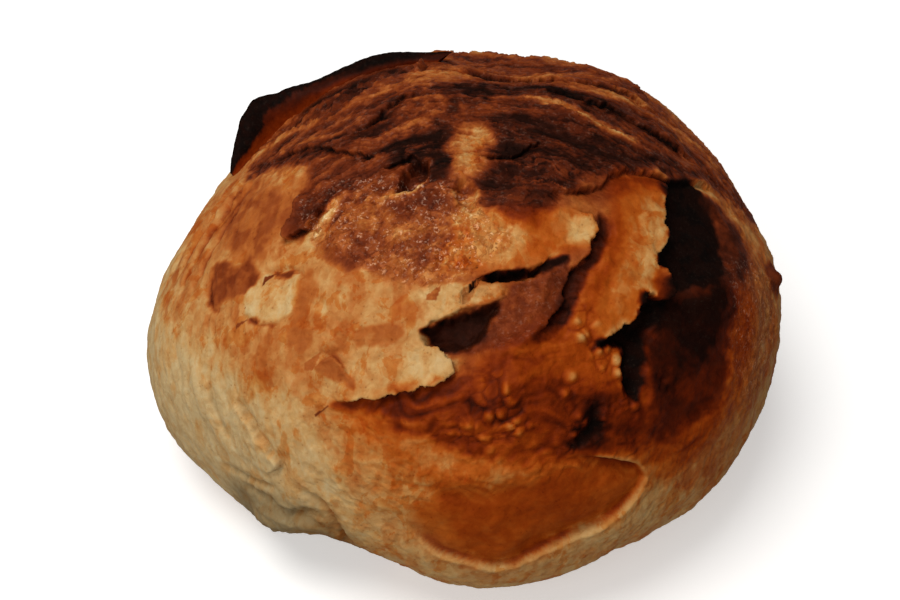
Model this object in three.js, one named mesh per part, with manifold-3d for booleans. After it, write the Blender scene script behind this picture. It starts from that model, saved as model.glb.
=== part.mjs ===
// A round loaf of laminated, croissant-style dough, baked in one piece on a flat stone.
//
// Millimetres, +Z up, the front towards -Y. The origin is on the surface that the loaf stands on, under
// the middle of its bounding box. Crust and crumb are one solid: a dome that is widest below half its
// height, pushed in and out by a few broad lobes, with one raised ear where the crust has torn open.
//
// A place on the crust is given by its bearing and its climb, in degrees, seen from the middle of the
// loaf's widest level: bearing 0 is the front, 90 the right and -90 the left, and climb 90 is the top.

import * as THREE from "three";
import { mergeVertices } from "three/addons/utils/BufferGeometryUtils.js";
import Module from "manifold-3d";

// Driving dimensions of the dome.
const halfWidth = 98;
const height = 124;
const widestLevel = 45; // how far the widest level is above the base
const bellyShare = 1.2; // how far below its widest level the dome would close, over that level's height
const crownFullness = 2.1; // 2 is an ellipse, and more is squarer
const bellyFullness = 2.6;

// Broad swellings and flats: bearing and climb of the middle, the angle they spread over, and the rise.
const lobes = [
  { name: "left belly", bearing: -80, climb: -12, spread: 25, rise: 9.5 },
  { name: "left shoulder", bearing: -108, climb: 34, spread: 26, rise: -6 },
  { name: "front belly", bearing: 4, climb: -14, spread: 28, rise: 2 },
  { name: "fold at the foot", bearing: -36, climb: -24, spread: 10, rise: -5 },
  { name: "foot lump", bearing: -58, climb: -24, spread: 13, rise: 6 },
  { name: "right shoulder", bearing: 100, climb: 35, spread: 30, rise: -5 },
  { name: "back of the crown", bearing: 180, climb: 50, spread: 28, rise: -6 },
];

// Hollows with a steep rim, where a crust blister has sunk or a tear gapes. Each is an ellipse on the
// crust: half its length, half its width, and the slope of its length, all in degrees, and its depth.
const hollows = [
  { name: "sunken blister", bearing: 9, climb: 2, along: 20, across: 9, slope: 12, depth: 3.5 },
  { name: "right tear", bearing: 62, climb: 33, along: 15, across: 8, slope: 75, depth: 4 },
  { name: "front tear", bearing: -3, climb: 37, along: 9, across: 4, slope: 15, depth: 3 },
  { name: "hollow by the ear", bearing: -118, climb: 42, along: 27, across: 9, slope: -50, depth: 6 },
];
const rimShare = 0.35; // the share of a hollow's ellipse that its rim takes to go down

// The ear: a sheet of crust that stands up along a line over the left shoulder.
const earRoot = [
  { bearing: -108, climb: 18 },
  { bearing: -117, climb: 32 },
  { bearing: -130, climb: 43 },
  { bearing: -148, climb: 50 },
  { bearing: -168, climb: 53 },
];
const earHeight = 12;
const earThickness = 3;
const earRootDepth = 6; // how far the sheet goes on into the loaf
const earLean = 3; // how far its rim leans back from straight up
const earEndShare = 0.25; // the share of its length over which the ear rises at its low end
const earTipHeight = 6; // what is left of its height at the high end, where it is torn off

// How finely the solid is faceted.
const domeDetail = 18;
const earSteps = { along: 30, up: 5 };

const centre = new THREE.Vector3(0, 0, widestLevel);

// The unit vector towards a bearing and a climb.
function direction({ bearing, climb }) {
  const turn = THREE.MathUtils.degToRad(bearing);
  const rise = THREE.MathUtils.degToRad(climb);
  return new THREE.Vector3(
    Math.sin(turn) * Math.cos(rise),
    -Math.cos(turn) * Math.cos(rise),
    Math.sin(rise),
  );
}

// How deep a hollow is in a direction, 0 outside its ellipse.
function depthOf(hollow, unit) {
  const middle = direction(hollow);
  const east = new THREE.Vector3(0, 0, 1).cross(middle).normalize();
  const north = middle.clone().cross(east);
  const slope = THREE.MathUtils.degToRad(hollow.slope);
  const right = THREE.MathUtils.radToDeg(Math.asin(unit.dot(east)));
  const up = THREE.MathUtils.radToDeg(Math.asin(unit.dot(north)));
  if (unit.dot(middle) < 0) return 0;
  const along = (right * Math.cos(slope) + up * Math.sin(slope)) / hollow.along;
  const across = (up * Math.cos(slope) - right * Math.sin(slope)) / hollow.across;
  const inside = 1 - Math.hypot(along, across);
  return hollow.depth * THREE.MathUtils.smoothstep(inside, 0, rimShare);
}

// The distance from the centre to the crust in a direction, before the base is cut flat.
function reach(unit) {
  const above = unit.z > 0;
  const fullness = above ? crownFullness : bellyFullness;
  const upright = above ? height - widestLevel : bellyShare * widestLevel;
  const out = Math.hypot(unit.x, unit.y) / halfWidth;
  const up = Math.abs(unit.z) / upright;
  const dome = (out ** fullness + up ** fullness) ** (-1 / fullness);
  const swelling = lobes.reduce((sum, lobe) => {
    const angle = THREE.MathUtils.radToDeg(unit.angleTo(direction(lobe)));
    return sum + lobe.rise * Math.exp(-((angle / lobe.spread) ** 2));
  }, 0);
  const sunk = hollows.reduce((sum, hollow) => sum + depthOf(hollow, unit), 0);
  return dome + swelling - sunk;
}

function onCrust(unit) {
  return unit.clone().multiplyScalar(reach(unit)).add(centre);
}

// The dome, down to where its underside would close.
function domeGeometry() {
  const dome = new THREE.IcosahedronGeometry(1, domeDetail);
  const places = dome.attributes.position;
  const unit = new THREE.Vector3();
  for (let i = 0; i < places.count; i++) {
    unit.fromBufferAttribute(places, i).normalize();
    const p = onCrust(unit);
    places.setXYZ(i, p.x, p.y, p.z);
  }
  return dome;
}

// How tall the ear stands at a share of its length: it rises from its low end and is torn off at the
// other.
function earHeightAt(share) {
  const rising = THREE.MathUtils.smoothstep(share, 0, earEndShare);
  const falling = THREE.MathUtils.smoothstep(share, earEndShare, 1);
  return earHeight * rising - (earHeight - earTipHeight) * falling;
}

// The ear: a flat sheet, bent along its root line and stood up from the crust.
function earGeometry() {
  const line = new THREE.CatmullRomCurve3(earRoot.map((place) => onCrust(direction(place))));
  const sheet = new THREE.BoxGeometry(1, 1, 1, earSteps.along, earSteps.up, 1);
  const places = sheet.attributes.position;
  for (let i = 0; i < places.count; i++) {
    const share = places.getX(i) + 0.5;
    const climbed = places.getY(i) + 0.5;
    const side = places.getZ(i);
    const root = line.getPointAt(share);
    const out = root.clone().sub(centre).normalize();
    const forward = line.getTangentAt(share).cross(out).normalize();
    const tall = earHeightAt(share) + earRootDepth;
    const lift = climbed * tall - earRootDepth;
    const lean = earLean * climbed ** 2;
    root.addScaledVector(out, lift).addScaledVector(forward, side * earThickness - lean);
    places.setXYZ(i, root.x, root.y, root.z);
  }
  return sheet;
}

const wasm = await Module();
wasm.setup();

// A closed geometry as a solid that can be joined and cut.
function solidOf(geometry) {
  const bare = geometry.clone();
  bare.deleteAttribute("normal");
  bare.deleteAttribute("uv");
  const merged = mergeVertices(bare, 1e-3);
  return new wasm.Manifold(
    new wasm.Mesh({
      numProp: 3,
      vertProperties: merged.attributes.position.array,
      triVerts: new Uint32Array(merged.index.array),
    }),
  );
}

function geometryOf(solid) {
  const mesh = solid.getMesh();
  const geometry = new THREE.BufferGeometry();
  geometry.setAttribute("position", new THREE.BufferAttribute(mesh.vertProperties, 3));
  geometry.setIndex(new THREE.BufferAttribute(mesh.triVerts, 1));
  geometry.computeVertexNormals();
  return geometry;
}

// Everything above the surface that the loaf stands on.
function roomAboveBase() {
  const side = 4 * (halfWidth + height);
  return new THREE.BoxGeometry(side, side, side).translate(0, 0, side / 2);
}

function loafGeometry() {
  const whole = solidOf(domeGeometry()).add(solidOf(earGeometry()));
  const geometry = geometryOf(whole.intersect(solidOf(roomAboveBase())));
  geometry.computeBoundingBox();
  const middle = geometry.boundingBox.getCenter(new THREE.Vector3());
  return geometry.translate(-middle.x, -middle.y, 0);
}

const crust = new THREE.MeshStandardMaterial({ color: 0xb9682a, roughness: 0.6, metalness: 0 });
const loaf = new THREE.Mesh(loafGeometry(), crust);
loaf.name = "loaf";

const model = new THREE.Group();
model.add(loaf);

export default model;
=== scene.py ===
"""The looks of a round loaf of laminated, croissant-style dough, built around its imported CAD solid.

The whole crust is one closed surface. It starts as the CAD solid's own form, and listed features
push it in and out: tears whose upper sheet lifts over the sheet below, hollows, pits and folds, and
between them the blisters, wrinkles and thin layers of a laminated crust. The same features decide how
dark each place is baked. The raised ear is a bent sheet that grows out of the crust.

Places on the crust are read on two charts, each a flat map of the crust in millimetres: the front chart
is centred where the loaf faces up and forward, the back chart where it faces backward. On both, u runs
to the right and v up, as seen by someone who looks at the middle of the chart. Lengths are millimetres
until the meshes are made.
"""

import itertools
import math

import bpy
import numpy as np
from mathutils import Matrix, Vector


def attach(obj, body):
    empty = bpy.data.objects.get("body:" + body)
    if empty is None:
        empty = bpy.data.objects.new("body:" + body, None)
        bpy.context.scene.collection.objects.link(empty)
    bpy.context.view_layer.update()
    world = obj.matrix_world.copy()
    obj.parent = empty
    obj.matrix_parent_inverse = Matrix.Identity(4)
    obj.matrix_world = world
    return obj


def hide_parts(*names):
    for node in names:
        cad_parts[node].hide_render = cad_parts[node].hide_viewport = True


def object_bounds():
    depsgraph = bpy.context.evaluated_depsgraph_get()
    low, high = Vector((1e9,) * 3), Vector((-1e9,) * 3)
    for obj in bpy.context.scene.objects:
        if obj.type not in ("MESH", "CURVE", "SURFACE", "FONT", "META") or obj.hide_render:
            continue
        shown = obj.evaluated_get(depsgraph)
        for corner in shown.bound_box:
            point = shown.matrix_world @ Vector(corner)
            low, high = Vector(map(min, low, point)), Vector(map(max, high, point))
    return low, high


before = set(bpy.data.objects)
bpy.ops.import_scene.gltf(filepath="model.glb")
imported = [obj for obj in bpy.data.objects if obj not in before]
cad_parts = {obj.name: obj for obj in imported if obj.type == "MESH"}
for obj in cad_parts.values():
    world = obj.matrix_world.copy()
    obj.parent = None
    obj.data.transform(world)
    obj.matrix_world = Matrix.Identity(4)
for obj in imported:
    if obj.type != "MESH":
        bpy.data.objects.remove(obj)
cad_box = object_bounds()

MM = 0.001

# ---------------------------------------------------------------- the form, as in the CAD solid

HALF_WIDTH = 98.0
HEIGHT = 124.0
WIDEST_LEVEL = 45.0
BELLY_DEPTH = 54.0
CROWN_FULLNESS = 2.1
BELLY_FULLNESS = 2.6
BASE_ROUNDING = 1.6

# bearing and climb in degrees, spread in degrees, rise in mm
LOBES = {
    "left belly": (-80, -12, 25, 9.5),
    "left shoulder": (-108, 34, 26, -6),
    "front belly": (4, -14, 28, 2),
    "fold at the foot": (-36, -24, 10, -5),
    "foot lump": (-58, -24, 13, 6),
    "right shoulder": (100, 35, 30, -5),
    "back of the crown": (180, 50, 28, -6),
}


def direction(bearing, climb):
    b, c = math.radians(bearing), math.radians(climb)
    return np.array([math.sin(b) * math.cos(c), -math.cos(b) * math.cos(c), math.sin(c)])


def unit(v):
    return v / np.maximum(np.linalg.norm(v, axis=-1, keepdims=True), 1e-9)


def reach(d):
    """How far the plain form is from its centre in the directions d."""
    out, up = np.hypot(d[:, 0], d[:, 1]) / HALF_WIDTH, np.abs(d[:, 2])
    above = d[:, 2] > 0
    upright = np.where(above, HEIGHT - WIDEST_LEVEL, BELLY_DEPTH)
    full = np.where(above, CROWN_FULLNESS, BELLY_FULLNESS)
    r = (out**full + (up / upright) ** full) ** (-1 / full)
    for bearing, climb, spread, rise in LOBES.values():
        angle = np.degrees(np.arccos(np.clip(d @ direction(bearing, climb), -1, 1)))
        r = r + rise * np.exp(-((angle / spread) ** 2))
    return r


def place(d):
    p = d * reach(d)[:, None]
    p[:, 2] += WIDEST_LEVEL
    return p


# ---------------------------------------------------------------- charts

CHART_RADIUS = 92.0  # the loaf's mean radius: an angle from the chart's middle becomes a length


class Chart:
    def __init__(self, bearing, climb):
        self.pole = direction(bearing, climb)
        b = math.radians(bearing)
        self.right = np.array([math.cos(b), math.sin(b), 0.0])
        self.up = np.cross(self.pole, self.right)

    def read(self, d):
        """The chart places, N by 2, of directions."""
        angle = np.arccos(np.clip(d @ self.pole, -1, 1))
        a, b = d @ self.right, d @ self.up
        scale = CHART_RADIUS * angle / np.maximum(np.hypot(a, b), 1e-9)
        return np.stack([a * scale, b * scale], 1)

    def aim(self, uv):
        """The directions of chart places."""
        uv = np.asarray(uv, float).reshape(-1, 2)
        length = np.maximum(np.hypot(uv[:, 0], uv[:, 1]), 1e-9)
        angle = (length / CHART_RADIUS)[:, None]
        across = (uv[:, :1] * self.right + uv[:, 1:] * self.up) / length[:, None]
        return self.pole * np.cos(angle) + across * np.sin(angle)

    def axes(self, uv):
        """Unit vectors along u, along v and out of the plain form, at chart places."""
        step = 0.5
        here = place(self.aim(uv))
        along_u = unit(place(self.aim(uv + [step, 0])) - here)
        along_v = unit(place(self.aim(uv + [0, step])) - here)
        return along_u, along_v, unit(np.cross(along_u, along_v))


FRONT = Chart(0, 42)
BACK = Chart(180, 34)

# ---------------------------------------------------------------- noise


def smooth(low, high, x):
    t = np.clip((x - low) / (high - low), 0, 1)
    return t * t * (3 - 2 * t)


def hashed(cell, seed):
    """A number from 0 to 1 for each lattice cell, the same on every run."""
    c = cell.astype(np.int64).astype(np.uint32)
    h = c[..., 0] * np.uint32(374761393) + c[..., 1] * np.uint32(668265263)
    h = h + c[..., 2] * np.uint32(2246822519) + np.uint32(seed * 3266489917 % 2**32)
    h = (h ^ (h >> np.uint32(15))) * np.uint32(2654435761)
    h = (h ^ (h >> np.uint32(13))) * np.uint32(3266489917)
    return (h ^ (h >> np.uint32(16))).astype(np.float64) / 4294967295.0


CORNERS = list(itertools.product((0, 1), repeat=3))
NEIGHBOURS = list(itertools.product((-1, 0, 1), repeat=3))
OCTAVE_FALL = 0.55  # each octave of a fractal weighs this share of the one before


def noise(p, seed):
    """Gradient noise, about -1 to 1."""
    cell = np.floor(p)
    f = p - cell
    w = f * f * f * (f * (f * 6 - 15) + 10)
    total = np.zeros(len(p))
    for corner in CORNERS:
        here = cell + corner
        slope = np.stack([hashed(here, seed + 17 * k) for k in range(3)], 1) * 2 - 1
        share = np.prod(np.where(np.array(corner) == 1, w, 1 - w), 1)
        total += share * np.sum(slope * (f - corner), 1)
    return total * 1.5


def fractal(p, size, octaves, seed):
    """Noise whose largest lumps are size mm across."""
    total, weight, sum_of_weights = 0.0, 1.0, 0.0
    for octave in range(octaves):
        total = total + weight * noise(p / size * 2**octave + 13.7 * octave, seed + 101 * octave)
        sum_of_weights += weight
        weight *= OCTAVE_FALL
    return total / sum_of_weights


def cells(p, size, seed):
    """Distance to the nearest of scattered points and to the second nearest, in cells, and a number from
    0 to 1 that is the nearest one's own."""
    q = p / size
    base = np.floor(q)
    near = np.full(len(p), 9.0)
    second = near.copy()
    own = np.zeros(len(p))
    for step in NEIGHBOURS:
        c = base + step
        point = c + np.stack([hashed(c, seed + 29 * m) for m in range(3)], 1)
        d = np.linalg.norm(q - point, axis=1)
        own = np.where(d < near, hashed(c, seed + 99), own)
        second = np.minimum(second, np.maximum(near, d))
        near = np.minimum(near, d)
    return near, second, own


def on_plane(x, y):
    """Places for noise that is stretched or bent along a chart."""
    return np.stack([x, y, 0 * x], 1)


def layers(x, count, edge):
    """x from 0 to 1 made into steps, each with a cliff that takes the share edge of it."""
    t = x * count
    whole = np.floor(t)
    return (whole + smooth(1 - edge, 1, t - whole)) / count


# ---------------------------------------------------------------- lines on a chart

FAR_OUTSIDE = -99.0
CHUNK = 20000  # how many places are measured against a line at once


def rounded(points, closed, step=1.5):
    """A curve through the points, as short straight pieces."""
    p = np.array(points, float)
    if closed:
        p = np.vstack([p[-1], p, p[0], p[1]])
    else:
        p = np.vstack([2 * p[0] - p[1], p, 2 * p[-1] - p[-2]])
    out = []
    for a, b, c, d in zip(p, p[1:], p[2:], p[3:]):
        n = max(int(np.linalg.norm(c - b) / step), 1)
        t = (np.arange(n) / n)[:, None]
        bend, twist = 2 * a - 5 * b + 4 * c - d, 3 * b - a - 3 * c + d
        out.append(0.5 * (2 * b + (c - a) * t + bend * t**2 + twist * t**3))
    return np.vstack(out + [p[-2][None]])


def beside(uv, line):
    """Signed distance to the line (positive on its left), share along it, and the nearest point."""
    start, end = line[:-1], line[1:]
    run = end - start
    length = np.maximum(np.linalg.norm(run, axis=1), 1e-6)
    normal = np.stack([-run[:, 1], run[:, 0]], 1) / length[:, None]
    travelled = np.concatenate([[0], np.cumsum(length)])
    rel = uv[:, None, :] - start[None]
    t = np.clip(np.einsum("nmk,mk->nm", rel, run) / length**2, 0, 1)
    gap = rel - t[..., None] * run[None]
    dist = np.linalg.norm(gap, axis=2)
    best = np.argmin(dist, 1)
    row = np.arange(len(uv))
    tb, off = t[row, best], gap[row, best]
    before = np.where(tb <= 0, np.maximum(best - 1, 0), best)
    after = np.where(tb >= 1, np.minimum(best + 1, len(run) - 1), best)
    facing = normal[before] + normal[after]
    side = np.where(np.sum(off * facing, 1) >= 0, 1.0, -1.0)
    along = (travelled[best] + tb * length[best]) / travelled[-1]
    return side * dist[row, best], along, off


def near_line(uv, points, margin, closed=False):
    """Indices of the chart places within margin of the line's box, and beside() for them."""
    line = rounded(points, closed)
    low, high = line.min(0) - margin, line.max(0) + margin
    idx = np.nonzero(np.all((uv > low) & (uv < high), 1))[0]
    if not len(idx):
        return idx, np.zeros(0), np.zeros(0), np.zeros((0, 2))
    parts = [beside(uv[part], line) for part in np.array_split(idx, max(len(idx) // CHUNK, 1))]
    s, along, off = (np.concatenate(x) for x in zip(*parts))
    return idx, s, along, off


def into_outline(uv, points, margin):
    """Indices of the chart places near a closed outline, and their signed distance into it."""
    idx, s, _, _ = near_line(uv, points, margin, closed=True)
    line = rounded(points, True)
    area = np.sum(line[:-1, 0] * line[1:, 1] - line[1:, 0] * line[:-1, 1])
    return idx, s if area > 0 else -s


def inside(uv, points, margin=12.0):
    """Signed distance into a closed outline (positive inside), FAR_OUTSIDE beyond the margin."""
    depth = np.full(len(uv), FAR_OUTSIDE)
    idx, s = into_outline(uv, points, margin)
    depth[idx] = s
    return depth


# ---------------------------------------------------------------- features of the crust
# A tear is a line with a raised sheet on one side (LEFT or RIGHT of the way it is drawn). lift is how
# far the sheet's edge stands up, and back how far behind the edge it starts to; drop and ahead say the
# same of the lower side; over is how far the edge hangs over it, ragged how far it strays. ends is the
# share of the line over which each end fades, pale how dry and pale the lip is, broken how much of the
# tear comes and goes, and steep half the width of its step.

LEFT, RIGHT = 1, -1
TEAR_FADE = 1.6  # the relief of a tear fades to exp(-TEAR_FADE) at the distances back and ahead
HANG_ABOVE, HANG_BELOW = 2.2, 1.2  # how far from the edge the overhang is still felt
LIP_WIDTH = 1.6

TEARS = {
    "right sheet": dict(
        line=[(72, 46), (66, 42), (63.5, 36), (62, 30), (60, 26), (60, 22), (57, 17), (53, 13), (57, 9.5),
              (58.5, 5), (57, 1), (53, 1), (50, 3.5), (47, 0), (44, -5), (41, -6), (37, -8.5), (32, -12.5)],
        sheet=RIGHT, lift=2.4, back=14, drop=4.5, ahead=12, over=1.6, ragged=0.6, ends=0.08, pale=0.9),
    "crown ledge": dict(
        line=[(98, 44), (90, 47), (82, 47.5), (72, 45.5), (60, 47.5), (53, 47.5), (47, 46), (42, 42),
              (36.5, 39.5), (31, 37.8), (25, 36.8), (18, 36.4)],
        sheet=RIGHT, lift=1.3, back=10, drop=2, ahead=5, over=0.8, ragged=0.6, ends=0.15, steep=0.9),
    "crown crack": dict(
        line=[(-2, 55), (2, 53), (6, 52.3), (11, 52.5), (14, 54.5), (16.5, 57), (20, 59), (25, 61)],
        sheet=LEFT, lift=1, back=5, drop=2.6, ahead=1.8, over=1, ragged=0.4, ends=0.2),
    "pale lobe edge": dict(
        line=[(30, 30.5), (33, 28.6), (35, 26.5), (35.5, 23), (34.5, 20), (33, 16.5), (30, 13), (27, 10),
              (24.5, 6), (23, 1), (20.5, -2), (17.5, -6), (14, -10)],
        sheet=RIGHT, lift=1.5, back=8, drop=3, ahead=4, over=1, ragged=0.6, ends=0.12, pale=0.2),
    "centre sheet": dict(
        line=[(-17, -9), (-16, -11.4), (-12.3, -13), (-9.8, -15), (-8, -17.2), (-8, -19), (-10, -20.2),
              (-13.7, -22), (-17.3, -22.4), (-21, -23.7), (-24.4, -24.6), (-28.7, -25.6), (-33, -25.8),
              (-37.6, -27.3), (-43, -28)],
        sheet=RIGHT, lift=2, back=10, drop=2.6, ahead=4, over=1.4, ragged=0.5, ends=0.12, pale=0.7),
    "pocket lip": dict(
        line=[(-19, -8.5), (-15, -5.5), (-11, -3.8), (-6, -1.5), (0, -0.4), (4, 1), (7.5, 1.6)],
        sheet=LEFT, lift=0.9, back=5, drop=1, ahead=2, over=0.5, ragged=0.3, ends=0.12, pale=0.2),
    "upper opening lip": dict(
        line=[(-3, 7), (1.3, 9), (6.3, 9.6), (12, 10.2), (17.7, 12.2), (22, 15)],
        sheet=LEFT, lift=1.2, back=6, drop=1.5, ahead=3, over=1, ragged=0.3, ends=0.2, pale=0.1),
    "window lip": dict(
        line=[(-23, -62), (-19, -69), (-13, -74), (-5, -76.5), (3, -78.8), (9, -79), (13, -77), (17, -75),
              (24, -72), (28, -70.5), (32, -69), (37, -66), (42, -62), (45.5, -58), (48, -53.5), (48, -50),
              (45, -47), (40, -45.2), (32, -43.2), (22, -42)],
        sheet=RIGHT, lift=0.7, back=7, drop=2.7, ahead=9, over=0.1, ragged=0.1, ends=0.1, pale=0.62,
        broken=0.3, steep=0.9),
    "foot sheet": dict(
        line=[(-78, -30), (-75, -34.5), (-71.5, -38), (-69.5, -42.5), (-67, -44), (-65.5, -47), (-63, -49),
              (-63.5, -52), (-67, -53.5), (-68, -56)],
        sheet=RIGHT, lift=1.2, back=9, drop=2.1, ahead=3.5, over=0.4, ragged=0.25, ends=0.1, broken=0.1,
        steep=0.8),
    "ear hollow edge": dict(
        line=[(-116, 54), (-108, 66), (-100, 76), (-90, 80), (-80, 81.5), (-70, 83), (-62, 86), (-55, 91),
              (-50, 97), (-44, 104), (-39, 110), (-34, 118)],
        sheet=RIGHT, lift=1, back=7, drop=5.5, ahead=13, over=0.7, ragged=0.8, ends=0.15),
    "brown flake": dict(
        line=[(-61, 40), (-62.5, 34), (-63.3, 28), (-65, 22), (-60, 23.5), (-56, 25.5), (-54, 29),
              (-51, 34)],
        sheet=LEFT, lift=2.6, back=5, drop=1.3, ahead=3, over=1.4, ragged=0.5, ends=0.12),
    "orange fold": dict(
        line=[(-50, -21), (-47, -17.5), (-43.5, -15.5), (-40, -18), (-36, -22.5)],
        sheet=RIGHT, lift=1.3, back=5, drop=1, ahead=3, over=0.7, ragged=0.3, ends=0.2, pale=0.2),
    "left hole lip": dict(
        line=[(-34, 33.5), (-30, 35), (-25, 36.5), (-21, 38.5), (-18.5, 42)],
        sheet=RIGHT, lift=1, back=3, drop=1.5, ahead=3, over=0.8, ragged=0.4, ends=0.2, pale=1),
    "left hole roof": dict(
        line=[(-36, 47), (-30, 49), (-25, 51), (-20, 50.5), (-16, 48)],
        sheet=LEFT, lift=1.4, back=6, drop=1.5, ahead=3, over=1.4, ragged=0.6, ends=0.2),
    "upper right strip": dict(
        line=[(18, 97), (30, 95), (44, 91), (58, 86), (72, 77), (86, 66), (96, 56)],
        sheet=LEFT, lift=1.3, back=8, drop=1.3, ahead=5, over=0.9, ragged=0.8, ends=0.2),
    "upper right strip 2": dict(
        line=[(22, 84), (34, 79), (46, 73), (58, 66), (70, 60)],
        sheet=RIGHT, lift=1, back=6, drop=1.2, ahead=4, over=0.8, ragged=0.7, ends=0.2),
    "rim strip": dict(
        line=[(-16, 114), (4, 115), (24, 113), (44, 109), (62, 104), (80, 96), (94, 86)],
        sheet=LEFT, lift=1.2, back=8, drop=1.2, ahead=5, over=0.8, ragged=0.8, ends=0.2),
    "crown strip": dict(
        line=[(-56, 66), (-48, 66), (-42, 72), (-37, 80), (-30, 88), (-20, 92)],
        sheet=LEFT, lift=1.2, back=6, drop=1.3, ahead=4, over=0.8, ragged=0.8, ends=0.2),
    "crown strip 2": dict(
        line=[(-90, 56), (-80, 61), (-70, 62), (-60, 60), (-50, 56), (-40, 54), (-30, 56)],
        sheet=LEFT, lift=1, back=6, drop=1, ahead=4, over=0.7, ragged=0.8, ends=0.2),
}

# A hollow is an outline that sinks by depth; wall is how far its side takes to go down.
HOLLOWS = {
    "burst blister": dict(
        line=[(64, 40), (70, 46), (82, 46), (90, 40), (95, 30), (96, 18), (86, 10), (72, 4), (60, 2),
              (56, 9), (53, 13), (58, 20)],
        depth=2.6, wall=9),
    "burnt split": dict(
        line=[(50, 3), (54, 0), (52, -6), (48, -12), (47, -20), (44, -28), (40, -27), (39, -19), (41, -13),
              (37, -12), (32, -13), (38, -8.5), (44, -5)],
        depth=3.6, wall=3),
    "pocket": dict(
        line=[(-17.6, -7.6), (-14, -5.5), (-6, -1.8), (0, -0.6), (5, 1), (4.5, -2.5), (2.5, -7), (-1, -11),
              (-4, -13.4), (-8, -13), (-12.3, -12.7), (-16, -11.4)],
        depth=4.6, wall=2.4),
    "upper opening": dict(
        line=[(-0.5, 7.4), (2, 9), (7, 9.6), (12, 10), (18, 12.4), (16, 8.2), (10.6, 6.4), (4, 6.2)],
        depth=3.6, wall=1.4),
    "burnt dip": dict(
        line=[(30, -25.5), (33.5, -28), (34.5, -33), (32, -39), (23, -39.5), (25, -36), (28, -31)],
        depth=1.8, wall=3),
    "left hole": dict(
        line=[(-27, 45), (-24, 49.5), (-19.5, 49.5), (-17.8, 45), (-19, 40.5), (-24, 38), (-29, 36.5),
              (-29, 39)],
        depth=4.5, wall=1.5),
    "right hole": dict(
        line=[(-9, 40), (-6, 42), (-2, 40), (-1, 35), (-3.5, 30.5), (-7, 31), (-9.5, 35)],
        depth=2.6, wall=1.8),
    "knob": dict(line=[(38, 29), (42, 27), (42.5, 21), (39.5, 18), (37.5, 22)], depth=1.6, wall=2),
}

# Round bumps (height > 0) and pits: u, v, radius, height.
BUMPS = [
    (-120, -20, 40, 3.2), (-75, -84, 16, 5.2), (-52, -93, 13, -3.4), (-34, -93, 14, -2.2),
    (-106, -74, 16, -1.8), (4, -98, 30, 2.6), (14, 122, 30, -2.6), (122, 0, 30, 1.8),
    (-48, -0.5, 2.2, -1.3), (-41, 3, 3.2, 0.5), (-41, 3, 2, -0.6), (-71, -5.5, 2, -0.5), (-62, 9, 4, -0.8),
    (51, -21, 1.1, -1), (53, -22.5, 1.2, -1.2), (52, -24.5, 0.9, -0.9), (55, -25, 0.9, -0.8),
    (38, -27, 1.2, -1.1), (36, -28.5, 1, -1), (37.5, -30, 0.9, -0.8), (4, -28, 4.5, 1.2), (11, -22, 3.6, 1),
    (17, -25, 3.4, 1), (27, -8, 4, 0.9), (22, -14, 5, 1), (118, 9, 4.5, 3.2), (-2, -33, 4, 0.8),
    (10, -34, 4.5, 0.9), (-14, -30, 5, 0.8), (46, -34, 4.5, 0.8), (64, -20, 6, 0.9), (26, -3, 2.2, 0.7),
    (29, -1, 1.8, 0.6), (25, 2, 1.6, 0.6), (38, 6, 1.5, -0.9), (8, 33, 5, 0.8), (14, 29, 5.5, 0.9),
    (-86, 44, 3, -0.8), (-92, 52, 3, -0.7),
]

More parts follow.
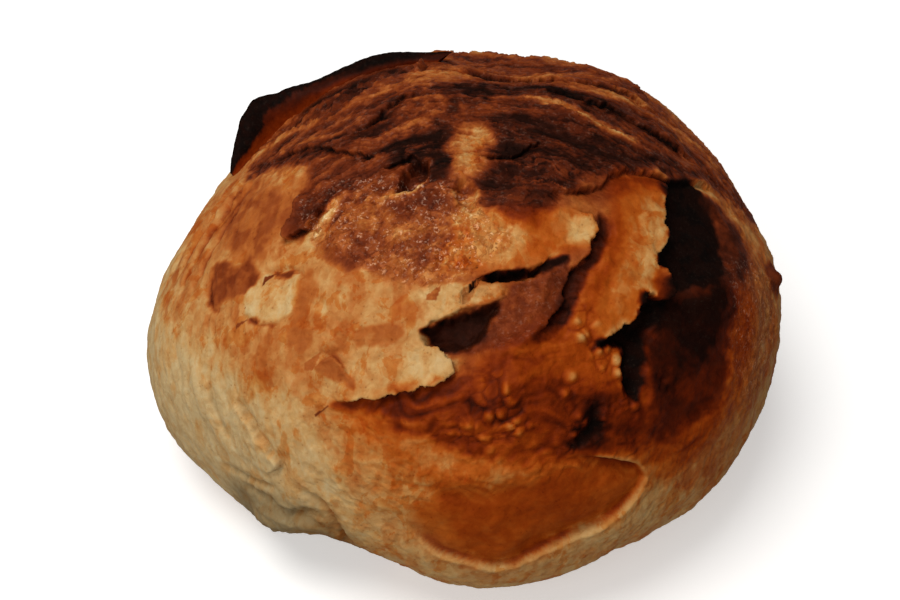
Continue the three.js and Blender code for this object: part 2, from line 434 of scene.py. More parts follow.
# Folds: a line with a ridge (height > 0) or a crease along it, width across.
FOLDS = [
    ([(-73, 9.5), (-66, 11), (-58, 10.5), (-54, 7)], 0.9, -0.9),
    ([(-76, 1), (-73, -5), (-66, -7), (-59, -5)], 0.9, -0.6),
    ([(-93, 13), (-92, 4), (-88, -3), (-80, 1)], 1, -0.6),
    ([(-105, 60), (-103, 48), (-105, 38), (-108, 28), (-112, 16), (-114, 2)], 1.5, -1.1),
    ([(-98, 57), (-96, 46), (-99, 36), (-103, 24), (-106, 10), (-107, -4)], 1.3, -0.9),
    ([(-112, 54), (-113, 42), (-116, 30), (-119, 18), (-120, 4)], 1.5, -1),
    ([(-101, 58), (-99.5, 46), (-102, 36), (-105, 25), (-109, 12)], 1.8, 0.9),
    ([(-109, 56), (-109, 44), (-112, 32), (-115, 20)], 1.8, 0.8),
    ([(-93, 46), (-93, 36), (-96, 26), (-99, 12), (-100, 0)], 1.2, -1),
    ([(-34, 112), (-31, 118), (-30, 126)], 1.2, -1.8),
    ([(-28, 110), (-26, 117), (-25, 126)], 1.2, -1.8),
    ([(-31, 110), (-28.5, 118), (-27.5, 126)], 1.4, 1.6),
    ([(-84, -62), (-74, -65), (-64, -68), (-56, -67), (-48, -68)], 1.6, -2.2),
    ([(-84, -72), (-70, -74), (-58, -73), (-50, -76)], 2.8, 2.4),
    ([(-82, -80), (-68, -82), (-57, -80)], 1.6, -2),
    ([(-80, -69), (-67, -71.5), (-55, -71)], 0.9, 0.8),
    ([(-77, -76), (-64, -78), (-53, -79)], 0.9, 0.9),
    ([(-72, -65.5), (-60, -66.5), (-48, -71)], 0.9, 0.7),
    ([(-92, -56), (-82, -58), (-72, -60), (-64, -60)], 1.6, -1.4),
    ([(-60, -55), (-55, -60), (-50, -63), (-46, -72), (-44, -84)], 1.8, -1.8),
    ([(-96, -16), (-92, -32), (-86, -46), (-82, -54)], 2.6, 0.7),
    ([(-90, -20), (-87, -34), (-80, -48)], 1.5, -0.5),
    ([(-104, 30), (-98, 42), (-91, 52)], 2.2, 0.9),
    ([(-100, 26), (-95, 38), (-89, 48)], 1.5, -0.8),
    ([(-20, -46), (-6, -49), (10, -47), (24, -44)], 3.5, 1.2),
    ([(42, -12), (47, -18), (50, -28), (51, -38)], 2.6, 1),
    ([(-5, 4), (0, 4.6), (5, 3.4), (8, 3.4)], 1.8, 1.3),
    ([(12, -2), (16, 2), (19, 8), (23, 11)], 1.8, 1.2),
    ([(2, -12), (8, -12.5), (14, -8), (18, -2)], 1.8, 1.1),
    ([(6, -6), (9, -8), (12, -6), (13, -2)], 1.2, 0.9),
    ([(30, 16), (36, 14), (40, 10), (46, 8)], 2.2, 0.8),
    ([(58, -30), (66, -28), (76, -26), (86, -20)], 4, 1),
    ([(50, -44), (60, -40), (72, -36), (84, -30)], 4, 0.9),
]

# The same on the back chart: a few broad tears and folds, so that no side is bare.
BACK_TEARS = {
    "back sheet": dict(
        line=[(-70, 34), (-56, 26), (-44, 27), (-30, 19), (-16, 21), (-4, 12), (8, 14), (20, 6), (30, 9)],
        sheet=LEFT, lift=1.8, back=12, drop=2.4, ahead=6, over=1.1, ragged=0.9, ends=0.12),
    "back strip": dict(
        line=[(64, 50), (50, 46), (38, 50), (24, 44), (10, 47), (-6, 42)],
        sheet=RIGHT, lift=1.4, back=9, drop=1.8, ahead=5, over=1, ragged=0.9, ends=0.15),
    "back low strip": dict(
        line=[(-20, -18), (-6, -24), (8, -22), (22, -30), (38, -28), (54, -36)],
        sheet=LEFT, lift=1.1, back=9, drop=1.3, ahead=5, over=0.7, ragged=0.8, ends=0.2),
    "back side tear": dict(
        line=[(74, 20), (68, 8), (70, -4), (63, -14), (64, -24)],
        sheet=LEFT, lift=1.5, back=9, drop=1.8, ahead=5, over=0.9, ragged=0.7, ends=0.2),
}
BACK_HOLLOWS = {
    "back burst": dict(line=[(-22, 16), (-10, 17), (0, 8), (-4, 1), (-16, 3), (-25, 9)], depth=2.4, wall=5),
    "side burst": dict(line=[(70, 6), (62, 8), (56, -2), (60, -12), (68, -10)], depth=1.8, wall=5),
}
BACK_FOLDS = [
    ([(-90, -30), (-70, -38), (-50, -36), (-30, -42)], 3, 0.9),
    ([(-80, 0), (-62, -6), (-46, -2), (-30, -8)], 3.5, 1),
    ([(0, -44), (20, -50), (44, -50), (66, -44)], 3.5, 0.9),
    ([(30, 30), (44, 22), (52, 10)], 3, 0.8),
]


class Relief:
    """What the features do to each vertex: how far it rises along the normal and drifts along the crust,
    how much it belongs to the dry lip of a tear, and how much painted shade it gets in the crevice under a
    tear's edge and along a crease. stray and come_and_go are noise that roughens lines and breaks them up."""

    def __init__(self, stray, come_and_go):
        self.stray, self.come_and_go = stray, come_and_go
        self.rise, self.lip, self.crevice_shade = (np.zeros(len(stray)) for _ in range(3))
        self.drift = np.zeros((len(stray), 3))

    def add(self, uv, axes, tears, hollows, bumps, folds):
        for tear in tears.values():
            self.add_tear(uv, axes, **tear)
        for hollow in hollows.values():
            self.add_hollow(uv, **hollow)
        for bump in bumps:
            self.add_bump(uv, *bump)
        for fold in folds:
            self.add_fold(uv, *fold)

    def add_tear(self, uv, axes, line, sheet, lift, back, drop, ahead, over, ragged, ends,
                 pale=0.0, broken=0.35, steep=0.6):
        idx, s, along, off = near_line(uv, line, 3.2 * max(back, ahead))
        if not len(idx):
            return
        outward = unit(off) * np.sign(s)[:, None] * sheet
        s = (s + ragged * self.stray[idx] * 3) * sheet
        there = smooth(0, ends, along) * smooth(1, 1 - ends, along)
        there = there * (1 - broken * smooth(0.15, -0.25, self.come_and_go[idx]))
        up, down = np.maximum(s, 0), np.maximum(-s, 0)
        step = smooth(-steep, steep, s)
        raised = lift * np.exp(-((up / back) ** 1.3) * TEAR_FADE)
        sunk = -drop * np.exp(-((down / ahead) ** 1.5) * TEAR_FADE)
        self.rise[idx] += there * (raised * step + sunk * (1 - step))
        hang = over * (step * np.exp(-up / HANG_ABOVE) - 0.7 * (1 - step) * np.exp(-down / HANG_BELOW))
        along_u, along_v, _ = axes
        way = outward[:, :1] * along_u[idx] + outward[:, 1:] * along_v[idx]
        self.drift[idx] -= (hang * there)[:, None] * way
        self.lip[idx] = np.maximum(self.lip[idx], there * step * np.exp(-up / LIP_WIDTH) * pale)
        # painted shade: the crevice under the edge is darkened in bake_crust
        dark = there * (1 - step) * np.exp(-down / (0.8 + 0.12 * ahead))
        self.crevice_shade[idx] = np.maximum(self.crevice_shade[idx], dark)

    def add_hollow(self, uv, line, depth, wall):
        idx, s = into_outline(uv, line, 6.0)
        self.rise[idx] -= depth * smooth(-0.3, wall, s + 1.4 * self.stray[idx])

    def add_bump(self, uv, u, v, radius, height):
        d = np.hypot(uv[:, 0] - u, uv[:, 1] - v) / radius
        self.rise += height * np.exp(-(d**2) * 1.2)

    def add_fold(self, uv, line, width, height):
        idx, s, along, _ = near_line(uv, line, 4 * width)
        if not len(idx):
            return
        ends = smooth(0, 0.25, along) * smooth(1, 0.75, along)
        shape = ends * np.exp(-(((s + 1.5 * self.stray[idx]) / width) ** 2))
        self.rise[idx] += height * shape
        # a crease gets painted shade along it
        if height < 0:
            self.crevice_shade[idx] = np.maximum(self.crevice_shade[idx], 0.55 * shape)


# ---------------------------------------------------------------- bake: how dark each place of the crust is
# A bake level runs from 0, hardly coloured, to 1, burnt black. Its colour depends on the crust as well:
# dry and flaky, or waxy where the dough is thin and glassy. Albedo, linear.

RAMP = [
    (0.00, (0.60, 0.425, 0.205), (0.60, 0.40, 0.17)),
    (0.12, (0.60, 0.350, 0.130), (0.60, 0.33, 0.11)),
    (0.25, (0.53, 0.230, 0.066), (0.53, 0.20, 0.045)),
    (0.38, (0.43, 0.130, 0.028), (0.45, 0.098, 0.009)),
    (0.50, (0.30, 0.074, 0.0170), (0.33, 0.050, 0.0028)),
    (0.62, (0.185, 0.036, 0.0090), (0.205, 0.024, 0.0015)),
    (0.74, (0.095, 0.0175, 0.0054), (0.105, 0.011, 0.0009)),
    (0.85, (0.040, 0.0085, 0.0034), (0.045, 0.0055, 0.0009)),
    (0.93, (0.014, 0.0038, 0.0019), (0.015, 0.0028, 0.0009)),
    (1.00, (0.0042, 0.0020, 0.0014), (0.0042, 0.0017, 0.0010)),
]

CHAR = 0.98

# Painted in this order: name, outline on the front chart, bake level, soft edge in mm, strength, how
# patchy it is (0 even, 1 only in patches), and the size of the patches in mm.
ZONES = [
    ("left belly", [(-150, 20), (-118, -4), (-100, -14), (-84, -24), (-64, -34), (-52, -44), (-44, -60),
     (-40, -110), (-150, -110)], -0.03, 12, 0.97, 0.1, 14),
    ("golden left", [(-112, 55), (-66, 52), (-62, 25), (-45, 12), (-20, 8), (-10, 0), (-30, -15),
     (-10, -25), (-30, -45), (-50, -30), (-66, -22), (-90, -4), (-112, 20)], 0.27, 9, 0.85, 0.35, 9),
    ("left streaks", [(-120, 50), (-100, 58), (-92, 40), (-92, 20), (-96, 0), (-108, -8), (-120, 10)], 0.36,
     6, 0.8, 0.7, 5),
    ("orange shoulder", [(-92, 50), (-66, 50), (-62, 34), (-65, 22), (-76, 14), (-90, 20), (-98, 34)], 0.55,
     5, 0.9, 0.4, 8),
    ("pale shoulder", [(-80, 50), (-68, 50), (-64, 42), (-68, 38), (-78, 42), (-84, 46)], 0.17, 3, 0.75,
     0.4, 5),
    ("orange band", [(-62, -4), (-50, -3), (-38, -6), (-22, -6), (-24, -14), (-44, -17), (-50, -26),
     (-66, -24), (-76, -14)], 0.37, 6, 0.75, 0.6, 7),
    ("streaky middle", [(-56, 20), (-46, 12), (-26, 10), (-14, 6), (-20, -4), (-36, -3), (-50, -2)], 0.24,
     5, 0.8, 0.4, 5),
    ("pale low left", [(-66, -30), (-44, -28), (-40, -40), (-44, -56), (-60, -60), (-70, -46)], 0.1, 8, 0.8,
     0.3, 9),
    ("low orange", [(-44, -27), (-8, -22), (20, -38), (50, -42), (50, -50), (24, -52), (8, -57), (-14, -60),
     (-30, -56), (-42, -44)], 0.3, 7, 0.9, 0.25, 9),
    ("low orange deep", [(-34, -30), (-6, -32), (20, -42), (46, -43), (34, -52), (6, -56), (-14, -52),
     (-24, -44)], 0.44, 6, 0.85, 0.55, 7),
    ("right flank", [(50, 6), (70, 8), (90, 16), (104, 26), (122, 24), (124, -20), (100, -56), (70, -80),
     (50, -66), (52, -46), (42, -28)], 0.24, 8, 0.95, 0.2, 8),
    ("right flank rust", [(50, -36), (70, -30), (92, -26), (100, -44), (78, -62), (54, -58)], 0.4, 9, 0.8,
     0.4, 9),
    ("bottom band", [(-52, -62), (-22, -66), (-12, -76), (10, -82), (34, -70), (50, -56), (70, -66),
     (60, -110), (-60, -110)], 0.16, 5, 0.9, 0.35, 9),
    ("crown", [(-104, 60), (-84, 54), (-64, 50), (-62, 36), (-66, 22), (-54, 20), (-46, 12), (-30, 10),
     (-12, 6), (-4, 14), (-10, 26), (4, 30), (14, 24), (24, 32), (34, 38), (44, 44), (58, 48), (90, 47),
     (108, 34), (150, 50), (150, 150), (-150, 150), (-112, 76)], 0.67, 2.2, 0.98, 0.08, 6),
    ("rosy crust", [(-62, 34), (-54, 20), (-42, 14), (-20, 6), (-6, 14), (-10, 26), (-2, 30), (-12, 42),
     (-34, 44), (-52, 42)], 0.57, 4, 0.95, 0.15, 6),
    ("rosy light", [(-38, 18), (-14, 4), (-2, 12), (4, 22), (-6, 28), (-22, 26), (-36, 30)], 0.37, 4, 0.85,
     0.6, 4),
    ("rosy light 2", [(-50, 34), (-42, 26), (-30, 26), (-22, 36), (-34, 40)], 0.4, 4, 0.7, 0.8, 3),
    ("crown flakes", [(-92, 60), (-62, 54), (-34, 60), (-10, 72), (-6, 95), (-18, 112), (-44, 108),
     (-50, 86), (-66, 76)], 0.46, 3, 0.85, 1, 4.5),
    ("hollow side", [(-112, 62), (-96, 76), (-80, 84), (-62, 88), (-52, 96), (-60, 110), (-90, 96),
     (-112, 80)], 0.56, 4, 0.9, 0.3, 6),
    ("hollow deep", [(-78, 90), (-62, 92), (-50, 100), (-36, 116), (-44, 126), (-66, 112), (-82, 100)],
     0.74, 4, 0.9, 0.2, 6),
    ("hollow edge", [(-116, 52), (-106, 66), (-96, 76), (-84, 80), (-72, 82), (-74, 79), (-86, 76),
     (-98, 70), (-108, 56)], 0.24, 2, 0.9, 0.25, 4),
    ("top rim", [(-34, 108), (0, 106), (40, 100), (80, 92), (110, 60), (130, 60), (110, 110), (40, 150),
     (-40, 150)], 0.58, 5, 0.8, 0.5, 8),
    ("top rim tan", [(-30, 106), (-6, 108), (-2, 112), (-14, 118), (-32, 112)], 0.26, 2.5, 0.9, 0.3, 4),
    ("upper right", [(14, 92), (44, 84), (74, 66), (92, 50), (104, 36), (118, 34), (112, 84), (70, 112),
     (20, 114)], 0.6, 5, 0.85, 0.35, 6),
    ("right tan", [(96, 42), (104, 44), (116, 36), (122, 20), (114, 14), (104, 22)], 0.3, 3, 0.9, 0.25, 5),
    ("tan strip", [(44, 102), (58, 101), (78, 99), (86, 96), (74, 92), (60, 94), (48, 97)], 0.27, 2.5, 0.95,
     0.2, 5),
    ("tan strip 2", [(20, 112), (44, 112), (66, 108), (70, 112), (40, 120), (16, 118)], 0.3, 3, 0.85, 0.4,
     5),
    ("tan strip 3", [(84, 84), (96, 74), (106, 62), (112, 64), (102, 80), (92, 90)], 0.3, 3, 0.8, 0.5, 5),
    ("pale strip", [(20, 90), (32, 87), (44, 80), (56, 72), (66, 62), (60, 63), (48, 71), (36, 79),
     (26, 83)], 0.29, 2.5, 0.95, 0.2, 5),
    ("pale strip core", [(24, 88), (33, 86), (42, 80), (54, 73), (63, 65), (58, 64), (46, 71), (36, 78),
     (28, 83)], 0.17, 2, 0.8, 0.2, 4),
    ("burnt crown", [(6, 74), (24, 75), (42, 70), (56, 63), (78, 59), (90, 52), (84, 48), (60, 49.5),
     (46, 47), (36, 41), (26, 37), (16, 40), (8, 40), (2, 36), (0, 44), (6, 52), (4, 64)], 0.82, 3, 0.95,
     0.12, 6),
    ("burnt crown foot", [(2, 40), (14, 40), (28, 37), (24, 30), (14, 27), (6, 31)], 0.79, 3, 0.85, 0.3, 5),
    ("burnt west", [(-36, 58), (-24, 62), (-12, 64), (-10, 56), (-11, 44), (-14, 40), (-17, 42), (-19, 52),
     (-30, 49)], 0.87, 2, 0.95, 0.15, 5),
    ("burnt streak", [(-98, 54), (-84, 62), (-66, 64), (-52, 66), (-44, 73), (-37, 86), (-32, 86),
     (-34, 72), (-42, 61), (-56, 55), (-76, 55), (-92, 50)], 0.8, 2.5, 0.95, 0.3, 5),
    ("burnt streak 2", [(-20, 92), (-10, 84), (2, 82), (6, 90), (14, 92), (26, 98), (10, 102), (-8, 100)],
     0.88, 3, 0.9, 0.35, 6),
    ("burnt streak 3", [(22, 103), (36, 102), (48, 97), (60, 88), (74, 77), (86, 66), (80, 64), (66, 76),
     (52, 84), (40, 90), (26, 95)], 0.85, 3, 0.92, 0.25, 6),
    ("burnt streak 4", [(60, 90), (76, 86), (92, 76), (102, 60), (94, 62), (84, 74), (70, 82)], 0.72, 3,
     0.8, 0.4, 5),
    ("burnt west of spot", [(-18, 96), (-13, 80), (-18, 70), (-13, 60), (-10, 70), (-8, 84)], 0.8, 2.5, 0.9,
     0.3, 4),
    ("crown spot", [(-9, 66), (-4, 69), (2, 68), (4, 61), (0, 54), (1, 48), (-5, 42), (-10, 43), (-9, 49),
     (-12, 55)], 0.29, 3, 0.97, 0.1, 5),
    ("crown spot core", [(-5, 66), (0, 67), (1, 60), (-3, 50), (-8, 46), (-8, 56)], 0.17, 2.5, 0.85, 0.2,
     4),
    ("mauve blister", [(8, 36), (15, 33), (20, 27), (16, 22), (9, 24), (6, 30)], 0.64, 2.5, 0.85, 0.1, 4),
    ("centre body", [(-4, 12), (20, 30), (40, 44), (66, 44), (62, 30), (54, 13), (58, 4), (54, -20),
     (60, -40), (20, -44), (-30, -30), (-8, -18)], 0.49, 4, 0.9, 0.1, 8),
    ("pale middle", [(-14, 11), (-6, 9), (2, 11), (10, 12), (18, 13.5), (25, 16), (32, 19), (35, 24),
     (30, 30), (24, 29), (18, 22), (10, 24), (4, 24), (0, 30), (-8, 32), (-8, 22)], 0.29, 2.5, 0.97, 0.1,
     6),
    ("lobe orange", [(14, 14), (24, 16.5), (27, 20), (27, 25), (22, 26), (17, 20)], 0.39, 2, 0.85, 0.2, 4),
    ("pale lobe", [(27, 20), (30.5, 18.6), (33.5, 20), (34, 24), (31, 28), (27.5, 25)], 0.07, 1.6, 0.85,
     0.1, 5),
    ("pale spots", [(2, 14), (10, 14), (12, 24), (4, 26), (-4, 30), (-8, 26)], 0.14, 4, 0.8, 0.8, 3),
    ("bridge", [(24, 16.4), (28, 17.2), (33, 15.6), (31, 13.6), (26, 14)], 0.5, 1, 0.95, 0.1, 3),
    # painted shadow along the crack below the pale lobe's lifted edge
    ("dark crack", [(37.5, 30), (41, 28), (42.5, 21), (38, 16), (36, 12), (31, 8), (28, 1), (23, -7),
     (15, -12), (13, -9), (18, -4), (21, 4), (25, 10), (30, 13), (33, 17), (36, 23)], 0.9, 1, 0.97, 0.1, 4),
    ("pale tongue", [(-22, 2), (-15, 5), (-8, 6), (0, 5.6), (6, 5), (7.4, 3), (4, 1.2), (-3, 0), (-9, -2.5),
     (-15, -5.5), (-19, -3)], 0.11, 1.4, 0.95, 0.2, 4),
    ("centre pale", [(-42, -27), (-24, -24.5), (-8, -20), (-8, -17), (-12, -13), (-16, -11), (-18, -7.5),
     (-20, -2), (-26, -6), (-36, -13), (-44, -20)], 0.15, 4, 0.9, 0.3, 7),
    ("centre lobe", [(-22, -22), (-13, -21), (-8.5, -19), (-9.5, -15), (-14, -12.5), (-18, -14)], 0.05, 3,
     0.85, 0.15, 5),
    ("crease", [(-12, 6), (-8, 8), (0, 8.4), (0, 6.4), (-8, 5.6)], 0.55, 0.9, 0.85, 0.3, 3),
    ("red tongue", [(3, 0), (8, 3.5), (9, 6.5), (16, 8), (22, 11), (26, 13), (24, 6), (20, -1), (16, -7),
     (12, -10.5), (4, -13), (-3, -14.5), (-9, -14), (-3, -11), (1, -8), (3, -4)], 0.71, 1.6, 0.97, 0.1, 4),
    ("tongue light", [(6, 0), (12, 5), (18, 6), (18, 1), (12, -7), (6, -10), (4, -5)], 0.58, 3, 0.75, 0.6,
     2.6),
    ("right sheet", [(68, 44), (62, 30), (60, 23), (53, 13), (58, 5), (50, 3), (42, -6), (36, -9), (30, -4),
     (30, 6), (37, 14), (42, 22), (42, 30), (46, 42), (58, 46)], 0.41, 2, 0.97, 0.1, 7),
    ("right sheet pale", [(62.5, 32), (60, 22), (53, 13), (58, 5), (54, 2.5), (49, 4), (46, 14), (50, 26),
     (56, 34)], 0.11, 5, 0.85, 0.1, 6),
    ("right sheet rays", [(60, 38), (52, 30), (44, 22), (38, 10), (36, 0), (46, 2), (50, 18), (58, 32)],
     0.28, 4, 0.8, 0.6, 4),
    ("right sheet top", [(34, 38), (40, 42), (45, 45.5), (56, 47), (67, 45), (64, 40), (54, 40), (46, 36),
     (40, 33), (35, 35)], 0.65, 3.5, 0.95, 0.1, 5),
    ("right sheet root", [(44, 34), (46, 24), (42, 14), (36, 4), (32, -4), (30, 2), (36, 12), (41, 22)],
     0.56, 3, 0.9, 0.2, 4),
    ("blistered middle", [(-32, -28), (-8, -20.5), (4, -15), (16, -12), (22, -20), (36, -22), (46, -30),
     (54, -42), (26, -42), (8, -42), (-12, -37)], 0.7, 3, 0.97, 0.1, 5),
    ("blistered orange", [(-6, -17), (10, -12), (20, -8), (28, -6), (36, -10), (36, -18), (28, -22),
     (14, -20), (2, -24), (-6, -21)], 0.53, 3, 0.85, 0.35, 5),
    ("blistered low", [(-10, -30), (10, -33), (34, -40), (20, -42), (-4, -39), (-20, -34)], 0.51, 4, 0.8,
     0.5, 5),
    # painted shadow: a dark band under the centre sheet's lifted edge
    ("shadow under centre sheet", [(-43, -28.5), (-33, -26.5), (-24, -25), (-13, -22.5), (-8, -20), (-7, -22),
     (-12, -26), (-22, -29.5), (-34, -31)], 0.7, 1.6, 0.92, 0.15, 4),
    ("window", [(-20, -60), (-10, -55), (6, -53), (24, -47), (40, -47), (46, -50), (46, -56), (38, -64),
     (24, -71), (10, -78), (-4, -76), (-16, -71)], 0.52, 3.5, 0.95, 0.1, 8),
    ("window top", [(-12, -54), (6, -52), (24, -45), (40, -46), (30, -56), (12, -62), (-4, -60)], 0.54, 6,
     0.9, 0.2, 6),
    ("window ends", [(32, -48), (42, -48), (45, -54), (38, -61), (32, -58)], 0.45, 4, 0.8, 0.2, 5),
    ("window left", [(-20, -61), (-10, -60), (-8, -72), (-16, -70)], 0.34, 4, 0.8, 0.2, 5),
    ("right low", [(46, -38), (60, -40), (76, -34), (84, -30), (82, -42), (70, -50), (54, -50), (44, -45)],
     0.56, 5, 0.85, 0.35, 5),
    ("right dark", [(56, 8), (64, 6), (80, 10), (88, 16), (88, 6), (86, -6), (83, -18), (77, -30),
     (64, -39), (54, -40), (47, -30), (46, -14), (52, -4)], 0.82, 6, 0.97, 0.1, 7),
    ("right dark core", [(56, 6), (78, 8), (85, 14), (84, 4), (77, -10), (66, -20), (57, -16), (52, -4)],
     0.95, 5, 0.95, 0.1, 7),
    ("right dark warm", [(50, -8), (58, -8), (62, -18), (58, -26), (50, -26)], 0.91, 4, 0.8, 0.4, 5),
    ("hollow surround", [(88, 42), (96, 38), (103, 28), (104, 16), (94, 6), (88, 8), (95, 18), (94, 30)],
     0.8, 3, 0.85, 0.3, 3),
    ("side speckle", [(92, 24), (100, 24), (112, 12), (112, -18), (100, -34), (84, -26), (86, -4),
     (89, 10)], 0.44, 4, 0.9, 0.45, 2.5),
    ("side edge", [(84, 14), (92, 23), (98, 16), (96, -2), (91, -20), (82, -28), (84, -8)], 0.6, 4, 0.85,
     0.3, 3),
    ("side bump", [(112, 14), (119, 16), (124, 10), (121, 3), (113, 5)], 0.76, 2, 0.9, 0.1, 3),
    # burst blister, pocket, upper opening and left hole are painted near black: burnt crust, and partly
    # painted shade deep inside the hollows
    ("burst blister", [(65, 43), (71, 47), (80, 48), (86, 44), (89, 36), (89, 27), (87, 18), (82, 10),
     (76, 6), (66, 5), (57, 5.5), (57, 8.5), (52.5, 13), (58, 18), (60.5, 26), (62.5, 34)], CHAR, 1.8, 1, 0,
     5),
    ("blister streaks", [(85, 43), (92, 38), (99, 27), (98, 15), (90, 8), (84, 9), (87, 20), (88, 32)],
     0.84, 3, 0.95, 0.15, 3),
    ("burnt split", [(48, 4), (52, 1.6), (58, 0), (56, -4), (50, -8), (47, -18), (44.5, -28), (41.5, -27),
     (40, -19), (41, -13), (38, -11.5), (31, -13), (36, -8.6), (43, -5)], CHAR, 1.2, 1, 0, 5),
    ("burnt dip", [(31, -25.5), (34.5, -27), (35, -33), (33, -38.5), (25, -41), (22, -38.5), (26, -34.5),
     (28, -30)], 0.97, 2.6, 0.95, 0.05, 3),
    ("pocket", [(-17.5, -7.5), (-13, -5.5), (-9, -3.4), (-6, -1.6), (-1, -0.6), (4, 0.8), (5.4, 0), (4, -3),
     (2, -6), (1, -9), (-3, -12), (-7, -13.5), (-11, -13), (-16, -11.5), (-16.3, -9.5)], 0.9, 0.8, 0.99, 0,
     3),
    ("upper opening", [(0, 8.6), (3, 9.6), (10, 10), (17, 11.5), (24, 15), (26, 14.4), (24, 12), (18, 9.2),
     (10, 7.4), (3, 7.2)], 0.95, 0.9, 0.97, 0.05, 3),
    ("left hole", [(-27, 45), (-24, 49.5), (-19.5, 49.5), (-17.8, 45), (-19, 40.5), (-24, 38), (-29, 36.5),
     (-29, 39)], 0.76, 1.2, 0.95, 0.1, 3),
    ("left hole light", [(-24, 43), (-20, 45), (-19, 41), (-24, 39)], 0.5, 1.6, 0.8, 0.3, 3),
    ("left hole rim", [(-34, 33), (-29, 33.5), (-24, 35), (-19.5, 38), (-18.5, 42), (-21, 40.5),
     (-26, 37.5), (-32, 36)], 0.17, 1, 0.95, 0.3, 2),
    ("right hole", [(-9, 38), (-6, 42), (-2, 40), (-1, 35), (-3.5, 30.5), (-7, 31), (-9.5, 35)], 0.22, 1.2,
     0.9, 0.2, 3),
    ("right hole shade", [(-8, 38), (-5, 41.5), (-2.5, 39), (-4, 36), (-8, 34)], 0.62, 1, 0.9, 0.1, 3),
    ("brown flake", [(-62, 40), (-63, 33), (-65, 22), (-60, 23), (-56, 25), (-53, 31), (-50, 38)], 0.66, 1,
     0.97, 0.1, 3),
    ("under brown flake", [(-58, 23.5), (-55, 25.5), (-52.5, 30), (-50, 34), (-47, 31), (-49, 24),
     (-52, 18), (-58, 20)], 0.13, 1.6, 0.9, 0.2, 4),
    ("rust spot", [(-92, 14), (-86, 13), (-80, 13.5), (-74, 12), (-71, 8), (-74, 3), (-82, 2), (-88, -2),
     (-93, 2)], 0.62, 1.3, 0.95, 0.2, 5),
    ("pale patch", [(-71, 9), (-62, 10.5), (-56, 8), (-56, 0), (-62, -4.5), (-71, -5), (-76, 0)], 0.07, 1,
     0.95, 0.3, 4),
    ("slot", [(-66, 9.8), (-61, 10.6), (-57, 10), (-60, 8.8), (-65, 8.8)], 0.7, 0.8, 0.9, 0, 3),
    ("rust dot", [(-73, -5), (-70.5, -4), (-68.5, -5.5), (-70.5, -7)], 0.58, 0.7, 0.95, 0, 3),
    ("orange by the patch", [(-56, 9), (-52, 10), (-50, 4), (-54, -5), (-58, -6), (-57, 2)], 0.42, 1.2,
     0.85, 0.1, 3),
    ("orange square", [(-58, -8), (-53, -7.5), (-53, -12), (-58, -13)], 0.45, 1, 0.85, 0.2, 3),
    ("grey pit", [(-50, 1), (-47, 1.5), (-46, -2), (-49, -2.5)], 0.05, 1.2, 0.8, 0, 3),
    ("pale ring", [(-43.5, 4), (-41, 6), (-38.5, 3.5), (-40.5, 0.5), (-43, 1)], 0.08, 1, 0.8, 0, 3),
    ("orange fold", [(-49, -19), (-44, -15), (-40, -18), (-36, -23), (-42, -22)], 0.46, 0.8, 0.92, 0.1, 3),
    ("orange arc", [(-47, -14), (-42, -12), (-38, -12), (-42, -14.5)], 0.46, 1.2, 0.85, 0.1, 3),
    ("orange patch", [(-36, -8), (-30, -6), (-22, -8), (-26, -11), (-36, -12)], 0.44, 1, 0.85, 0.2, 4),
    ("dark foot of tongue", [(-24, -3), (-20, 1), (-17, 0), (-20, -6)], 0.45, 2, 0.7, 0.3, 3),
]

# Where the crust is waxy: outline and soft edge in mm.
WAXY = [
    ([(-44, -27), (-8, -19), (-2, -13), (20, -2), (30, 12), (40, 28), (46, 47), (66, 45), (62, 30), (58, 4),
      (80, 8), (96, 0), (90, -30), (60, -56), (40, -66), (6, -80), (-20, -66), (-34, -50)], 5),
    ([(-14, 10), (18, 12), (36, 20), (30, 30), (0, 30)], 4),
]

BACK_ZONES = [
    ("crown", [(-110, 40), (-70, 26), (-40, 34), (-10, 14), (20, 20), (50, 12), (80, 30), (120, 40),
     (140, 150), (-140, 150)], 0.56, 9, 0.95, 0.3, 12),
    ("burnt crown", [(-80, 60), (-50, 44), (-20, 50), (0, 36), (30, 44), (60, 40), (70, 70), (30, 90),
     (-40, 90)], 0.72, 7, 0.9, 0.45, 10),
    ("burnt streak", [(-60, 40), (-40, 34), (-16, 26), (0, 18), (16, 14), (8, 24), (-14, 34), (-40, 44)],
     0.84, 4, 0.85, 0.5, 6),
    ("golden belt", [(-120, 30), (-70, 14), (0, 0), (60, 4), (110, 20), (110, -20), (50, -34), (-10, -34),
     (-70, -26), (-120, -10)], 0.27, 14, 0.85, 0.4, 12),
    ("orange belt", [(-60, 16), (-20, 8), (30, 6), (70, 10), (60, -8), (20, -16), (-30, -14)], 0.42, 9,
     0.85, 0.55, 9),
    ("back burst", BACK_HOLLOWS["back burst"]["line"], 0.9, 2.5, 0.95, 0.1, 4),
    ("side burst", BACK_HOLLOWS["side burst"]["line"], 0.76, 3, 0.85, 0.3, 4),
]


def toward(value, other, share):
    return value + (other - value) * share


def paint_zones(bake, uv, p, zones, seed):
    """The bake levels with the zones painted over them, soft and ragged at their edges."""
    for k, (_, outline, level, soft, strength, patchy, size) in enumerate(zones):
        margin = soft * 1.5 + 3
        depth = inside(uv, outline, margin)
        idx = np.nonzero(depth > -margin)[0]
        if not len(idx):
            continue
        stray = fractal(p[idx], 5.0, 3, seed + 7 * k)
        share = smooth(-soft, soft, depth[idx] + soft * 0.9 * stray + 1.2 * stray)
        if patchy:
            patch = fractal(p[idx], size, 3, seed + 7 * k + 3)
            share = share * (1 - patchy + patchy * smooth(-0.12, 0.12, patch))
        bake[idx] = toward(bake[idx], level, share * strength)
    return bake


